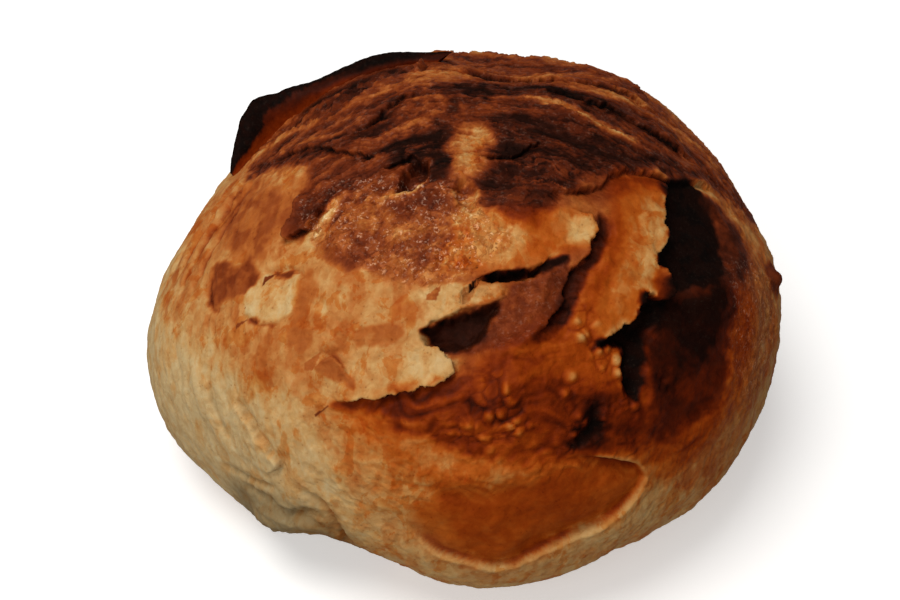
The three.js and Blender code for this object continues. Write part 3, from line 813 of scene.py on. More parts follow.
def baked_colour(bake, wax):
    """The colour of a bake level on dry or waxy crust."""
    levels = [row[0] for row in RAMP]
    dry, waxy = (np.stack([np.interp(bake, levels, [row[k][c] for row in RAMP]) for c in range(3)], 1)
                 for k in (1, 2))
    return dry + (waxy - dry) * wax[:, None]


# ---------------------------------------------------------------- the crust's surface

FACE_STEPS = 240
FRONT_SHARE = 0.38  # how strongly the grid is drawn towards the front

# The corner, width and height of each face's cell of the bake map, and of the ear's; MAP_GAP stays free
# around each cell of a face.
FACE_CELLS = [(0, 0.5, 0.5, 0.5), (0, 0, 0.25, 0.5), (0.25, 0, 0.25, 0.5), (0.5, 0, 0.25, 0.5),
              (0.75, 0, 0.25, 0.5), (0.5, 0.5, 0.25, 0.25)]
MAP_GAP = 0.004
EAR_CELL = (0.505, 0.755, 0.49, 0.24)
EAR_END_AT, EAR_END_RADIUS, EAR_END_STEP = (0.80, 0.60), 0.02, 0.06  # the ear's two flat ends


def cube_sphere():
    """Directions, quads and per-corner map places of a closed grid of six faces round the front pole."""
    w, r, u = FRONT.pole, FRONT.right, FRONT.up
    sides = [(w, r, u), (u, r, -w), (-u, r, w), (r, -w, u), (-r, w, u), (-w, -r, u)]
    t = np.linspace(-1, 1, FACE_STEPS + 1)
    a, b = np.meshgrid(np.tan(t * math.pi / 4), np.tan(t * math.pi / 4), indexing="ij")
    s, q = np.meshgrid((t + 1) / 2, (t + 1) / 2, indexing="ij")
    points, quads, corners = [], [], []
    grid = np.arange((FACE_STEPS + 1) ** 2).reshape(FACE_STEPS + 1, FACE_STEPS + 1)
    for k, (out, right, up) in enumerate(sides):
        d = out + a[..., None] * right + b[..., None] * up
        points.append(unit(d.reshape(-1, 3)))
        quad = np.stack([grid[:-1, :-1], grid[1:, :-1], grid[1:, 1:], grid[:-1, 1:]], -1).reshape(-1, 4)
        x, y, wide, tall = FACE_CELLS[k]
        on_map = [x + MAP_GAP + s * (wide - 2 * MAP_GAP), y + MAP_GAP + q * (tall - 2 * MAP_GAP)]
        corners.append(np.stack(on_map, -1).reshape(-1, 2)[quad])
        quads.append(quad + k * len(points[0]))
    points, quads = np.vstack(points), np.vstack(quads)
    _, first, back = np.unique(np.round(points, 6), axis=0, return_index=True, return_inverse=True)
    points = points[first]
    quads = back.reshape(-1)[quads]
    return unit(points + FRONT_SHARE * FRONT.pole), quads, np.vstack(corners)


def settle(z):
    """Lays the underside flat, with a rounded edge."""
    return 0.5 * (z + np.sqrt(z * z + BASE_ROUNDING**2))


# Regions with a fine relief or a colour of their own, among them the foot that gets painted shade: outline
# on the front chart, how far inside it, in mm, the region starts and is full, and how far around the
# outline places are looked at.
REGIONS = {
    "blister": ([(-32, -28), (-8, -20.5), (0, -14), (14, -11), (24, -4), (30, 4), (34, -8), (40, -14),
                 (44, -28), (54, -40), (26, -43), (8, -42), (-14, -38)], -5, 4, 12),
    "low": ([(-44, -28), (-8, -26), (30, -42), (60, -40), (80, -30), (90, -50), (50, -50), (10, -56),
             (-30, -56)], -6, 6, 14),
    "crown": ([(-104, 60), (-64, 48), (-62, 28), (-46, 14), (-8, 8), (0, 28), (20, 30), (44, 44), (90, 47),
               (110, 34), (150, 60), (150, 150), (-150, 150)], -5, 5, 12),
    "rosy": ([(-62, 34), (-54, 20), (-42, 14), (-20, 4), (4, 12), (10, 22), (0, 30), (-12, 42), (-34, 44),
              (-52, 42)], -3, 5, 12),
    "tongue": ([(2, -2), (9, 6.5), (22, 11), (26, 12), (20, -1), (12, -10), (-6, -14)], -1, 1, 6),
    "sheet": ([(66, 42), (60, 24), (53, 13), (58, 4), (42, -6), (34, 0), (38, 14), (42, 30), (46, 46)],
              -3, 3, 8),
    "window": ([(-20, -60), (6, -50), (46, -48), (46, -56), (24, -71), (0, -78), (-16, -71)], -3, 3, 8),
    "dark side": ([(58, 6), (96, 16), (104, 6), (96, -16), (80, -36), (50, -42), (48, -16)], -6, 6, 12),
    "hollow": ([(66, 43), (80, 48), (94, 34), (98, 18), (76, 6), (57, 6), (53, 13), (60, 26)], -2, 2, 8),
    "side": ([(84, 12), (98, 18), (114, 10), (114, -16), (98, -34), (82, -22)], -4, 4, 8),
    # painted shade: the foot under the belly, darkened in bake_crust
    "painted foot shade": ([(-90, -64), (-70, -63), (-50, -66), (-38, -84), (-46, -112), (-90, -104)], -7, 7, 14),
}
FRONT_IS_FULL, FRONT_ENDS = 130, 150  # how far from its middle the front chart rules, in mm
WAX_IN_DRY, WAX_AT_BACK = 0.25, 0.3


def texture_masks(uv, uv_back):
    """How much a place belongs to each region, to the front chart and to the waxy crust."""
    mask = {name: smooth(start, full, inside(uv, outline, margin))
            for name, (outline, start, full, margin) in REGIONS.items()}
    front = mask["front"] = smooth(FRONT_ENDS, FRONT_IS_FULL, np.hypot(uv[:, 0], uv[:, 1]))
    mask["rosy"] = np.maximum(mask["rosy"], 0.5 * mask["tongue"])
    mask["left"] = smooth(-40, -72, uv[:, 0]) * front
    mask["crown"] = np.maximum(mask["crown"], smooth(0, 40, uv_back[:, 1]) * (1 - front))
    wax = np.full(len(uv), WAX_IN_DRY)
    for outline, soft in WAXY:
        wax = np.maximum(wax, smooth(-soft, soft, inside(uv, outline, soft + 4)))
    mask["wax"] = wax * front + WAX_AT_BACK * (1 - front)
    return mask


PLIES, LOW_PLIES = 12, 8  # how many plies the crown and the rest are laid in
PLY_EDGE = 0.12  # the share of a ply that its edge takes
CROWN_BELOW = 20  # the crown's plies run round a place this far below the chart's middle


def fine_relief(uv, p, mask):
    """The small relief between the features, in mm, and its parts that the bake follows."""
    u, v = uv[:, 0], uv[:, 1]
    on_front = mask["front"][:, None] > 0.5
    calm = 1 - 0.8 * np.maximum(mask["sheet"], mask["window"])
    calm = calm * (1 - 0.7 * mask["dark side"]) * (1 - 0.8 * mask["hollow"])
    # broad swelling and fine grain
    swell = fractal(p, 26, 2, 3) * 2.2 + fractal(p, 9, 3, 5) * 0.7
    rise = swell * (1 - 0.5 * mask["left"])
    grain = fractal(p, 2.4, 3, 9)
    rise = rise + grain * (0.06 + 0.12 * mask["crown"] + 0.06 * mask["blister"]) * calm
    # streaks that run across the front
    warp = fractal(p, 12, 2, 21)
    streak = fractal(on_plane(u / 5.0, v / 1.0 + 9 * warp), 3.4, 3, 23)
    streaky = 0.30 * mask["blister"] + 0.35 * mask["low"] + 0.2 * mask["crown"]
    rise = rise + streak * mask["front"] * streaky * calm
    # blisters, with seams between them
    near, second, own = cells(p + 1.0 * warp[:, None], 4.0, 31)
    bubble = smooth(0.36 + 0.38 * own, 0.12, near) * (0.65 + 0.45 * own)
    seam = smooth(0.20, 0.0, second - near)
    lumpy = smooth(-0.1, 0.25, fractal(p, 11, 2, 33))
    rise = rise + (0.95 * bubble - 0.20 * seam) * lumpy * (mask["blister"] + 0.25 * mask["rosy"])
    rise = rise + 0.25 * bubble * calm * (1 - 0.6 * mask["left"])
    # flakes of the crown
    flat = on_plane(u / 1.7 + 2.5 * grain, v + 2.5 * grain + 6 * warp)
    flat = np.where(on_front, flat, p + 2.5 * grain[:, None])
    edge_near, edge_second, flake = cells(flat, 4.2, 35)
    flake = (flake - 0.5) * smooth(0.0, 0.12, edge_second - edge_near)
    rise = rise + 0.40 * flake * mask["crown"] * calm
    # plies: the crown's run round its middle, the others follow the swelling
    distance, turn = np.hypot(u, v + CROWN_BELOW), np.arctan2(u, v + CROWN_BELOW)
    strip = fractal(on_plane(turn * 11.0, distance + 6 * warp + 0.8 * grain), 6.5, 4, 43)
    field = fractal(p, 15, 4, 41)
    bands = toward(field, 0.8 * strip + 0.4 * field, mask["front"]) * 0.5 + 0.5
    plies = layers(bands, PLIES, PLY_EDGE) - bands
    rise = rise + plies * PLIES * 0.42 * mask["crown"] + 0.7 * strip * mask["crown"] * mask["front"]
    field = field * 0.5 + 0.5
    low_plies = layers(field, LOW_PLIES, PLY_EDGE) - field
    rise = rise + low_plies * LOW_PLIES * 0.30 * (1 - mask["crown"]) * calm * (1 - 0.7 * mask["left"])
    # upright wrinkles on the left
    wrinkle = fractal(on_plane(u + 4 * warp, v / 6.0), 2.6, 3, 51)
    upright = np.maximum(mask["left"], 0.6 * mask["rosy"]) * mask["front"]
    rise = rise + 0.55 * wrinkle * upright
    return rise, dict(streak=streak, bubble=bubble * lumpy, seam=seam * lumpy, plies=plies, flake=flake,
                      strip=strip, wrinkle=upright * wrinkle)


def shape_crust(d):
    """The crust's places in the directions d, and all that its bake is worked out from."""
    uv, uv_back = FRONT.read(d), BACK.read(d)
    axes, axes_back = FRONT.axes(uv), BACK.axes(uv_back)
    p = place(d)
    stray = fractal(p, 2.6, 3, 61) + 0.7 * fractal(p, 7.0, 2, 63)
    relief = Relief(stray, come_and_go=fractal(p, 14, 3, 67))
    relief.add(uv, axes, TEARS, HOLLOWS, BUMPS, FOLDS)
    relief.add(uv_back, axes_back, BACK_TEARS, BACK_HOLLOWS, [], BACK_FOLDS)
    mask = texture_masks(uv, uv_back)
    fine, parts = fine_relief(uv, p, mask)
    under = smooth(10, 2, p[:, 2])
    rise = (relief.rise + fine) * (1 - 0.85 * under)
    front_share = mask["front"][:, None]
    normal = unit(axes[2] * front_share + axes_back[2] * (1 - front_share) + 1e-6)
    shaped = p + normal * rise[:, None] + relief.drift * (1 - under)[:, None]
    shaped[:, 2] = settle(shaped[:, 2])
    return shaped, (p, uv, uv_back, relief, mask, parts, under)


CHAR_STARTS, CHAR_IS_FULL = 0.86, 0.95  # bake levels


def bake_crust(p, uv, uv_back, relief, mask, parts, under):
    """Colour, gloss, char, speckle and calm of every vertex. The colour's fourth number says how much of
    the thin orange film the material may draw there."""
    bake = 0.19 + 0.16 * fractal(p, 22, 3, 71)
    back = paint_zones(bake.copy(), uv_back, p, BACK_ZONES, 900)
    front = paint_zones(bake.copy(), uv, p, ZONES, 100)
    bake = toward(back, front, mask["front"])
    settled = smooth(0.90, 0.97, bake)  # what is burnt black stays black
    # thin films on pale crust
    pale = smooth(0.42, 0.30, bake) * (1 - mask["window"])
    stretched = np.where(mask["front"][:, None] > 0.5, on_plane(uv[:, 0], 0.55 * uv[:, 1]), p)
    film = fractal(stretched, 7.0, 3, 83)
    film_fine = fractal(stretched, 3.0, 3, 85)
    bake = bake + pale * (0.08 * smooth(0.10, 0.17, film) - 0.05 * smooth(-0.12, -0.20, film))
    bake = bake + pale * 0.04 * smooth(0.12, 0.20, film_fine)
    filmed = pale * mask["front"] * smooth(0.06, 0.22, bake)
    # unevenness, and what the fine relief does to the bake
    mottle = fractal(p, 4.5, 4, 81)
    uneven = (1 - 0.4 * mask["sheet"]) * (1 - 0.5 * mask["window"])
    bake = bake + 0.10 * mottle * (uneven * (0.35 + 0.65 * smooth(0.0, 0.22, bake)))
    flaky = mask["crown"] + 0.5 * mask["rosy"] + 0.5 * mask["blister"]
    bake = bake + 0.06 * fractal(p, 1.6, 3, 87) * flaky
    bake = bake - mask["blister"] * (0.18 * parts["streak"] + 0.30 * parts["bubble"] - 0.12 * parts["seam"])
    bake = bake - mask["low"] * 0.16 * parts["streak"]
    bake = bake - mask["crown"] * (0.06 * parts["streak"] + 1.4 * parts["plies"] + 0.10 * parts["flake"])
    bake = bake - mask["crown"] * mask["front"] * 0.42 * parts["strip"] * smooth(0.95, 0.8, bake)
    bake = bake - mask["rosy"] * 0.10 * parts["bubble"]
    bake = bake - 0.10 * parts["wrinkle"]
    # lips, painted shade in crevices (partly a darker bake of the crack) and the scorched underside
    dry_lip = smooth(0.12, 0.42, relief.lip) * smooth(0.72, 0.5, bake)
    bake = toward(bake, 0.09, 0.65 * dry_lip)
    # painted shade in crevices: a deeper bake, and on pale crust a darker colour; partly burnt crust in the
    # crack
    crevice_shade = smooth(0.2, 0.9, relief.crevice_shade)
    in_pale = smooth(0.32, 0.16, bake)
    bake = bake + (0.34 - 0.28 * in_pale) * crevice_shade
    scorch = smooth(0.05, 0.4, fractal(p, 16, 3, 91))
    bake = toward(bake, 0.16 + 0.4 * scorch, 0.9 * under)
    bake = np.clip(toward(bake, np.maximum(bake, 0.97), settled), 0, 1)
    colour = baked_colour(bake, mask["wax"]) * (1 - 0.45 * in_pale * crevice_shade)[:, None]
    # painted shade on the foot under the belly
    colour = colour * (1 - 0.52 * mask["painted foot shade"] * mask["front"])[:, None]
    char = smooth(CHAR_STARTS, CHAR_IS_FULL, bake)
    gloss = 0.25 + 0.5 * mask["rosy"] + 0.3 * mask["crown"] + 0.4 * mask["blister"] - 0.6 * char
    # speckle also sets how strong the painted highlights (bright flecks) are, most on the rosy crust
    speckle = 0.10 + 0.9 * mask["rosy"] + 0.42 * mask["crown"] + 0.7 * mask["side"] - 0.8 * char
    calm = np.maximum(mask["window"], 0.8 * mask["sheet"])
    calm = np.maximum(calm, 0.8 * smooth(0.20, 0.04, bake))
    return np.column_stack([colour, filmed]), np.clip(gloss, 0, 1), char, np.clip(speckle, 0, 1), calm


# ---------------------------------------------------------------- the ear

# Chart places of the ear's foot, its height, and how far its rim leans away from the front.
EAR_FOOT = [(-119, 62), (-114, 74), (-107, 86), (-97, 96), (-84, 106), (-70, 115), (-54, 123), (-38, 128),
            (-22, 130)]
EAR_HEIGHT = [1.0, 8.0, 11.5, 8.0, 4.6, 4.2, 4.4, 3.8, 2.6]
EAR_LEAN = [0.5, 1.0, 1.5, 2.5, 3.0, 3.0, 3.0, 2.5, 2.0]
EAR_DEPTH = 7.0
EAR_THICKNESS = 1.9
EAR_RIM_THICKNESS = 0.8
EAR_TIP = 5.0  # how far the torn tip reaches on past the foot
EAR_STEPS = 260
EAR_ROWS = 26
EAR_RIM = 0.06  # the share of its height over which the ear closes to its rim
EAR_BLACK_FROM = [(0, 0.45), (0.10, 0.26), (0.20, 0.34), (0.30, 0.62), (0.42, 0.80), (0.62, 0.80),
                  (0.72, 0.66), (0.85, 0.80), (1, 0.97)]  # share along the ear, and of its height


def along_values(values, share):
    """A smooth curve through values spread evenly over the shares 0 to 1."""
    line = rounded([(k / (len(values) - 1) * 100, v) for k, v in enumerate(values)], False, 1.0)
    return np.interp(share * 100, line[:, 0], line[:, 1])


def ear_sheet():
    """Vertices, quads and map places of the ear: a sheet with two sides, closed round its rim."""
    foot = rounded(EAR_FOOT, False, 0.6)
    length = np.concatenate([[0], np.cumsum(np.linalg.norm(np.diff(foot, axis=0), axis=1))])
    share = np.linspace(0, 1, EAR_STEPS)
    at = np.stack([np.interp(share * length[-1], length, foot[:, k]) for k in (0, 1)], 1)
    here = place(FRONT.aim(at))
    _, _, out = FRONT.axes(at)
    tangent = unit(np.gradient(here, axis=0))
    forward = unit(np.cross(tangent, out))
    travelled = on_plane(share * length[-1], 0 * share)
    tall = along_values(EAR_HEIGHT, share)
    tall = tall * (1 + 0.10 * fractal(travelled, 26, 2, 201)) + 0.8 * fractal(travelled, 8, 4, 203)
    tall = np.maximum(tall, 0.3)
    lean = along_values(EAR_LEAN, share)
    profile = np.linspace(0, 1, EAR_ROWS)
    loop = [(c, 1.0) for c in profile] + [(c, -1.0) for c in profile[::-1]]
    verts, heights = [], []
    for climbed, side in loop:
        lift = climbed * (tall + EAR_DEPTH) - EAR_DEPTH
        above = np.clip(lift / np.maximum(tall, 0.1), 0, 1)
        thick = EAR_THICKNESS + (EAR_RIM_THICKNESS - EAR_THICKNESS) * climbed
        past = max(climbed - (1 - EAR_RIM), 0) / EAR_RIM
        closing = math.sqrt(max(1 - past**2, 0))
        back = lean * above**1.5 - 1.6 * np.sin(above * math.pi) * (tall / 12)
        q = here + out * lift[:, None] + forward * (side * thick * closing / 2 - back)[:, None]
        q = q + tangent * (EAR_TIP * smooth(0.86, 1.0, share) * above**1.5)[:, None]
        wobble = fractal(q, 6, 3, 207) * 0.7 + fractal(q, 16, 2, 209) * 1.6
        q = q + forward * (wobble * above)[:, None]
        verts.append(q)
        heights.append(np.where(side > 0, above, -above))
    around = len(loop)
    verts = np.stack(verts, 1).reshape(-1, 3)
    heights = np.stack(heights, 1).reshape(-1)
    share_of = np.repeat(share, around)
    i, j = np.meshgrid(np.arange(EAR_STEPS - 1), np.arange(around), indexing="ij")
    k = (j + 1) % around
    quads = np.stack([i * around + j, i * around + k, (i + 1) * around + k, (i + 1) * around + j], -1)
    quads = quads.reshape(-1, 4)
    x, y, wide, high = EAR_CELL
    s = np.stack([i, i, i + 1, i + 1], -1).reshape(-1, 4) / (EAR_STEPS - 1)
    q = np.stack([j, j + 1, j + 1, j], -1).reshape(-1, 4) / around
    corners = np.stack([x + s * wide, y + q * high], -1)
    ends = [np.arange(around), np.arange(around)[::-1] + (EAR_STEPS - 1) * around]
    return verts, quads, corners, ends, heights, share_of


def bake_ear(verts, heights, share):
    """The same as bake_crust gives, for the ear."""
    inner = heights >= 0
    h = np.abs(heights)
    stray = fractal(verts, 7, 3, 211)
    fine = fractal(verts, 1.8, 3, 213)
    bake = 0.63 + 0.05 * smooth(0.35, 0.6, share) + 0.22 * smooth(0.05, 0.6, h + 0.3 * stray)
    bake = bake + 0.12 * smooth(0.55, 0.75, share) - 0.14 * smooth(0.86, 0.96, share)
    black_from = np.interp(share, *zip(*EAR_BLACK_FROM))
    black = smooth(black_from - 0.06, black_from + 0.04, h + 0.16 * stray + 0.12 * fine)
    bake = toward(bake, 0.985, black)
    outside = 0.56 + 0.2 * smooth(0.3, 0.8, h + 0.3 * stray)
    outside = toward(outside, 0.97, smooth(0.7, 0.95, h + 0.15 * stray))
    bake = np.clip(np.where(inner, bake, outside) + 0.06 * fine, 0, 1)
    colour = baked_colour(bake, np.full(len(verts), 1.0))
    char = smooth(CHAR_STARTS, CHAR_IS_FULL, bake)
    plain = np.zeros(len(verts))
    return np.column_stack([colour, plain]), plain + 0.35, char, plain + 0.2, plain


# ---------------------------------------------------------------- materials


class Nodes:
    """A short way to write a node tree."""

    def __init__(self, name):
        self.material = bpy.data.materials.new(name)
        self.material.use_nodes = True
        self.tree = self.material.node_tree
        self.tree.nodes.clear()

    def add(self, kind, values=None, **settings):
        node = self.tree.nodes.new(kind)
        for key, value in settings.items():
            setattr(node, key, value)
        for key, value in (values or {}).items():
            self.feed(node.inputs[key], value)
        return node

    def feed(self, socket, value):
        if isinstance(value, bpy.types.NodeSocket):
            self.tree.links.new(value, socket)
        else:
            socket.default_value = value

    def math(self, operation, a, b=0.0, c=0.0, clamp=False):
        node = self.add("ShaderNodeMath", {0: a, 1: b, 2: c}, operation=operation, use_clamp=clamp)
        return node.outputs[0]

    def times(self, a, b):
        return self.math("MULTIPLY", a, b)

    def map(self, value, low, high, to_low=0.0, to_high=1.0):
        node = self.add("ShaderNodeMapRange", {"Value": value, "From Min": low, "From Max": high,
                                               "To Min": to_low, "To Max": to_high})
        node.interpolation_type = "SMOOTHSTEP"
        return node.outputs["Result"]

    def mix(self, share, a, b, how="MIX"):
        node = self.add("ShaderNodeMix", data_type="RGBA", blend_type=how)
        self.feed(node.inputs[0], share)
        self.feed(node.inputs[6], a)
        self.feed(node.inputs[7], b)
        return node.outputs[2]

    def tinted(self, colour, tint, how="MULTIPLY"):
        return self.mix(1.0, colour, (*tint, 1), how)

    def noise(self, place, per_metre, detail=4.0, roughness=0.6, distortion=0.0):
        node = self.add("ShaderNodeTexNoise", {"Vector": place, "Scale": per_metre, "Detail": detail,
                                               "Roughness": roughness, "Distortion": distortion})
        return node.outputs["Fac"]

    def cells(self, place, per_metre):
        values = {"Vector": place, "Scale": per_metre, "Randomness": 1.0}
        return self.add("ShaderNodeTexVoronoi", values).outputs

    def finished(self, **sockets):
        values = {socket.replace("_", " "): value for socket, value in sockets.items()}
        shader = self.add("ShaderNodeBsdfPrincipled", values)
        self.add("ShaderNodeOutputMaterial", {"Surface": shader.outputs["BSDF"]})
        return self.material


def crust_material():
    """Adds, to the vertex colours, what is finer than the vertices. Scales are per metre."""
    n = Nodes("crust")
    spot = n.add("ShaderNodeTexCoord").outputs["Object"]
    attribute = n.add("ShaderNodeAttribute", attribute_name="bake").outputs
    baked, filmed = attribute["Color"], attribute["Alpha"]
    state = n.add("ShaderNodeAttribute", attribute_name="state")
    parts = n.add("ShaderNodeSeparateColor", {"Color": state.outputs["Color"]}).outputs
    gloss, char, speckle, calm = parts[0], parts[1], parts[2], state.outputs["Alpha"]

    # the crust's noises
    mottle = n.noise(spot, 300.0, 6.0, 0.66, 0.6)
    fleck = n.noise(spot, 1000.0, 3.0, 0.6, 0.3)
    pore = n.cells(spot, 620.0)["Distance"]
    # thin orange films
    drawn = n.add("ShaderNodeVectorMath", {0: spot, 1: (1.0, 1.0, 0.6)}, operation="MULTIPLY").outputs[0]
    film = n.times(n.map(n.noise(drawn, 130.0, 5.0, 0.62, 0.5), 0.535, 0.555), filmed)
    orange = n.tinted(baked, (0.93, 0.66, 0.38))
    baked = n.mix(n.times(film, 0.85), baked, orange)
    # mottling
    browner = n.tinted(baked, (0.74, 0.56, 0.38))
    colour = n.mix(n.map(mottle, 0.46, 0.62, 0.0, 0.40), baked, browner)
    paler = n.tinted(baked, (1.12, 1.22, 1.40))
    colour = n.mix(n.map(mottle, 0.46, 0.34, 0.0, 0.5), colour, paler)
    # small plates, each its own shade, then bright flecks (painted highlights on the glossy crust, partly
    # pale flecks of the crown), dark pores and ash on char
    bend = n.add("ShaderNodeTexNoise", {"Vector": spot, "Scale": 240.0, "Detail": 3.0}).outputs["Color"]
    bent = n.add("ShaderNodeVectorMath", {0: bend, 1: (0.008, 0.008, 0.008), 2: spot},
                 operation="MULTIPLY_ADD").outputs[0]
    plate = n.add("ShaderNodeSeparateColor", {"Color": n.cells(bent, 640.0)["Color"]}).outputs[0]
    deeper = n.tinted(colour, (0.52, 0.40, 0.32))
    colour = n.mix(n.times(n.map(plate, 0.45, 0.05, 0.0, 0.6), speckle), colour, deeper)
    drier = n.tinted(colour, (1.45, 1.75, 2.2))
    colour = n.mix(n.times(n.map(plate, 0.65, 0.95, 0.0, 0.6), speckle), colour, drier)
    # painted highlights: bright pinkish flecks for glints on the glossy crust, partly pale flecks on the
    # crown
    flake = n.times(n.map(fleck, 0.545, 0.59), n.math("POWER", speckle, 3.0))
    flake = n.times(flake, n.map(mottle, 0.52, 0.42, 0.10, 1.0))
    light = n.tinted(n.tinted(baked, (1.3, 1.8, 2.4)), (0.30, 0.20, 0.145), "ADD")
    colour = n.mix(n.times(flake, 0.8), colour, light)
    dark_pore = n.times(n.map(pore, 0.30, 0.05), n.map(mottle, 0.48, 0.60))
    darker = n.tinted(colour, (0.5, 0.35, 0.25))
    colour = n.mix(n.times(dark_pore, 0.5), colour, darker)
    ash = n.times(n.map(fleck, 0.56, 0.68), n.times(char, 0.30))
    colour = n.mix(ash, colour, (0.022, 0.013, 0.009, 1))

    rough = n.map(mottle, 0.3, 0.7, 0.50, 0.66)
    rough = n.math("SUBTRACT", rough, n.times(gloss, 0.18))
    rough = n.math("SUBTRACT", rough, n.times(flake, 0.10))
    rough = n.math("ADD", rough, n.times(char, 0.20), clamp=True)

    height = n.times(n.noise(spot, 620.0, 5.0, 0.60, 0.5), 0.8)
    height = n.math("ADD", height, n.times(n.map(pore, 0.0, 0.35), 0.2))
    height = n.math("ADD", height, n.times(flake, 0.35))
    height = n.math("MULTIPLY_ADD", n.times(plate, speckle), 0.6, height)
    strength = n.math("MULTIPLY_ADD", calm, -0.28, 0.42)
    strength = n.math("MULTIPLY_ADD", speckle, 0.30, strength)
    bump = n.add("ShaderNodeBump", {"Height": height, "Distance": 0.0006, "Strength": strength})
    return n.finished(
        Base_Color=colour, Roughness=rough, Normal=bump.outputs["Normal"], IOR=1.4, Specular_IOR_Level=0.05,
        Subsurface_Weight=0.04, Subsurface_Radius=(1.0, 0.45, 0.2), Subsurface_Scale=0.0015)


FLOOR_GLOW = 0.38
FLOOR_HALF = 6.0  # metres


def floor_material():
    return Nodes("floor").finished(
        Base_Color=(0.96, 0.955, 0.945, 1), Roughness=0.95, Emission_Color=(1, 1, 1, 1),
        Emission_Strength=FLOOR_GLOW)


# ---------------------------------------------------------------- building


def add_object(name, data, at=(0, 0, 0)):
    obj = bpy.data.objects.new(name, data)
    obj.location = at
    bpy.context.scene.collection.objects.link(obj)
    return obj


def build_mesh(name, verts, quads, corners, caps, colour, state):
    """A smooth mesh of quads and caps, in metres, with its bake map and two vertex colours."""
    mesh = bpy.data.meshes.new(name)
    verts = (verts * MM).astype(np.float32)
    sizes = np.concatenate([np.full(len(quads), 4), [len(c) for c in caps]]).astype(np.int32)
    loops = np.concatenate([quads.reshape(-1), *caps]).astype(np.int32)
    starts = np.concatenate([[0], np.cumsum(sizes)[:-1]]).astype(np.int32)
    mesh.vertices.add(len(verts))
    mesh.vertices.foreach_set("co", verts.reshape(-1))
    mesh.loops.add(len(loops))
    mesh.loops.foreach_set("vertex_index", loops)
    mesh.polygons.add(len(sizes))
    mesh.polygons.foreach_set("loop_start", starts)
    mesh.polygons.foreach_set("loop_total", sizes)
    mesh.polygons.foreach_set("use_smooth", np.ones(len(sizes), bool))
    mesh.update(calc_edges=True)
    layer = mesh.uv_layers.new(name="OFBake")
    places = [corners.reshape(-1, 2)]
    for k, cap in enumerate(caps):
        a = np.linspace(0, 6.28, len(cap), endpoint=False)
        middle = np.add(EAR_END_AT, (EAR_END_STEP * k, 0))
        places.append(middle + EAR_END_RADIUS * np.stack([np.cos(a), np.sin(a)], 1))
    places = np.vstack(places)
    layer.data.foreach_set("uv", places.astype(np.float32).reshape(-1))
    for attribute, values in (("bake", colour), ("state", state)):
        data = mesh.attributes.new(attribute, "FLOAT_COLOR", "POINT").data
        data.foreach_set("color", values.astype(np.float32).reshape(-1))
    mesh.validate()
    return mesh


def build_crust():
    d, quads, corners = cube_sphere()
    shaped, about = shape_crust(d)
    colour, *state = bake_crust(*about)
    ear, ear_quads, ear_corners, ear_ends, heights, share = ear_sheet()
    ear_colour, *ear_state = bake_ear(ear, heights, share)
    plain = place(d)
    shift = np.append((plain.min(0) + plain.max(0))[:2] / 2, shaped[:, 2].min())
    first = len(shaped)
    mesh = build_mesh(
        "crust", np.vstack([shaped, ear]) - shift, np.vstack([quads, ear_quads + first]),
        np.vstack([corners, ear_corners]), [end + first for end in ear_ends],
        np.vstack([colour, ear_colour]), np.vstack([np.stack(state, 1), np.stack(ear_state, 1)]))
    mesh.materials.append(crust_material())
    return add_object("crust", mesh)


def build_floor():
    level = cad_box[0][2]
    mesh = bpy.data.meshes.new("floor")
    sides = [(-1, -1), (1, -1), (1, 1), (-1, 1)]
    mesh.from_pydata([(FLOOR_HALF * x, FLOOR_HALF * y, level) for x, y in sides], [], [(0, 1, 2, 3)])
    mesh.materials.append(floor_material())
    floor = add_object("floor", mesh)
    floor.visible_diffuse = False  # it throws no light back up, as in the photographed studio
    floor.visible_glossy = False
    return floor


def look_at(obj, spot):
    obj.rotation_euler = (Vector(spot) - obj.location).to_track_quat("-Z", "Y").to_euler()


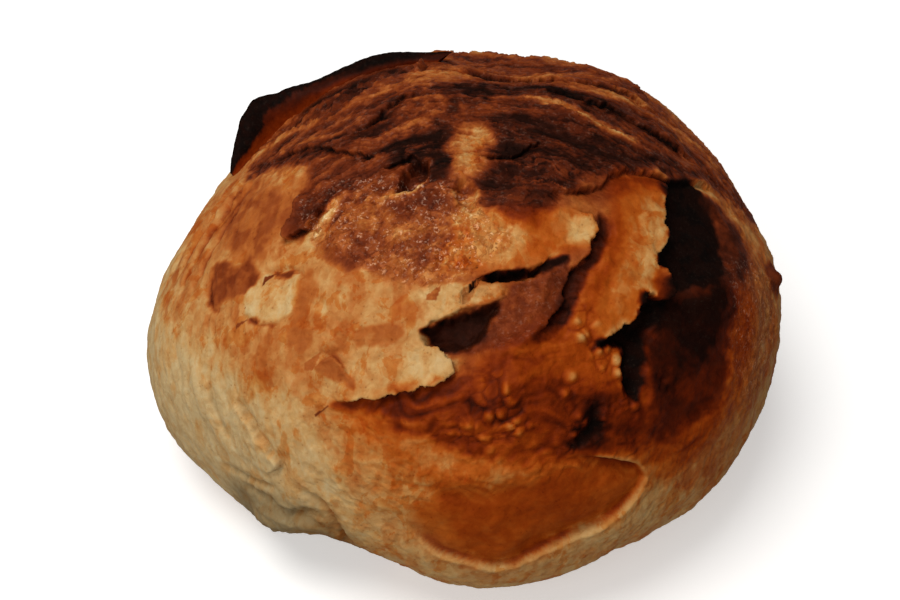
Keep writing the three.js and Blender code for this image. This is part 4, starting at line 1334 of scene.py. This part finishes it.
WORLD_STRENGTH = 0.22
LAMPS = {
    "key": dict(at=(-0.34, -0.14, 1.30), size=0.9, power=10.8, colour=(1.0, 0.98, 0.95)),
    "fill": dict(at=(-0.6, -1.4, 0.7), size=1.6, power=10.5, colour=(1.0, 0.98, 0.96)),
}
LAMPS_AIM = (0, 0, 0.05)


def build_lights():
    world = bpy.data.worlds.new("studio")
    world.use_nodes = True
    background = world.node_tree.nodes["Background"]
    background.inputs["Color"].default_value = (1.0, 1.0, 1.0, 1)
    background.inputs["Strength"].default_value = WORLD_STRENGTH
    bpy.context.scene.world = world
    for name, lamp in LAMPS.items():
        light = bpy.data.lights.new(name, "AREA")
        light.shape = "DISK"
        light.size = lamp["size"]
        light.energy = lamp["power"]
        light.color = lamp["colour"]
        obj = add_object(name, light, lamp["at"])
        look_at(obj, LAMPS_AIM)


VIEW_CLIMB = math.radians(42)
VIEW_DISTANCE = 0.572
LENS_MM = 70.0
SENSOR_MM = 36.0
AIM_HEIGHT = 0.050
SIDEWAYS, LOWER = 0.00915, 0.00275  # the loaf sits a little right of and above the picture's middle


def build_camera():
    back = np.array([0, -math.cos(VIEW_CLIMB), math.sin(VIEW_CLIMB)])
    up = np.array([0, math.sin(VIEW_CLIMB), math.cos(VIEW_CLIMB)])
    all_round = np.array(np.meshgrid(*[np.linspace(-1, 1, 41)] * 3)).reshape(3, -1).T
    form = place(unit(all_round + 1e-6))
    middle = (form.min(0) + form.max(0)) / 2 * MM
    target = np.array([-middle[0], -middle[1], AIM_HEIGHT])
    spot = target + back * VIEW_DISTANCE - np.array([SIDEWAYS, 0, 0]) - up * LOWER
    camera = bpy.data.cameras.new("camera")
    camera.lens = LENS_MM
    camera.sensor_width = SENSOR_MM
    camera.clip_start = 0.01
    obj = add_object("camera", camera, spot)
    obj.rotation_euler = (math.pi / 2 - VIEW_CLIMB, 0, 0)
    bpy.context.scene.camera = obj


crust = build_crust()
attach(crust, "root")
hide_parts("loaf")
build_floor()
build_lights()
build_camera()
bpy.context.scene.view_settings.view_transform = "Standard"
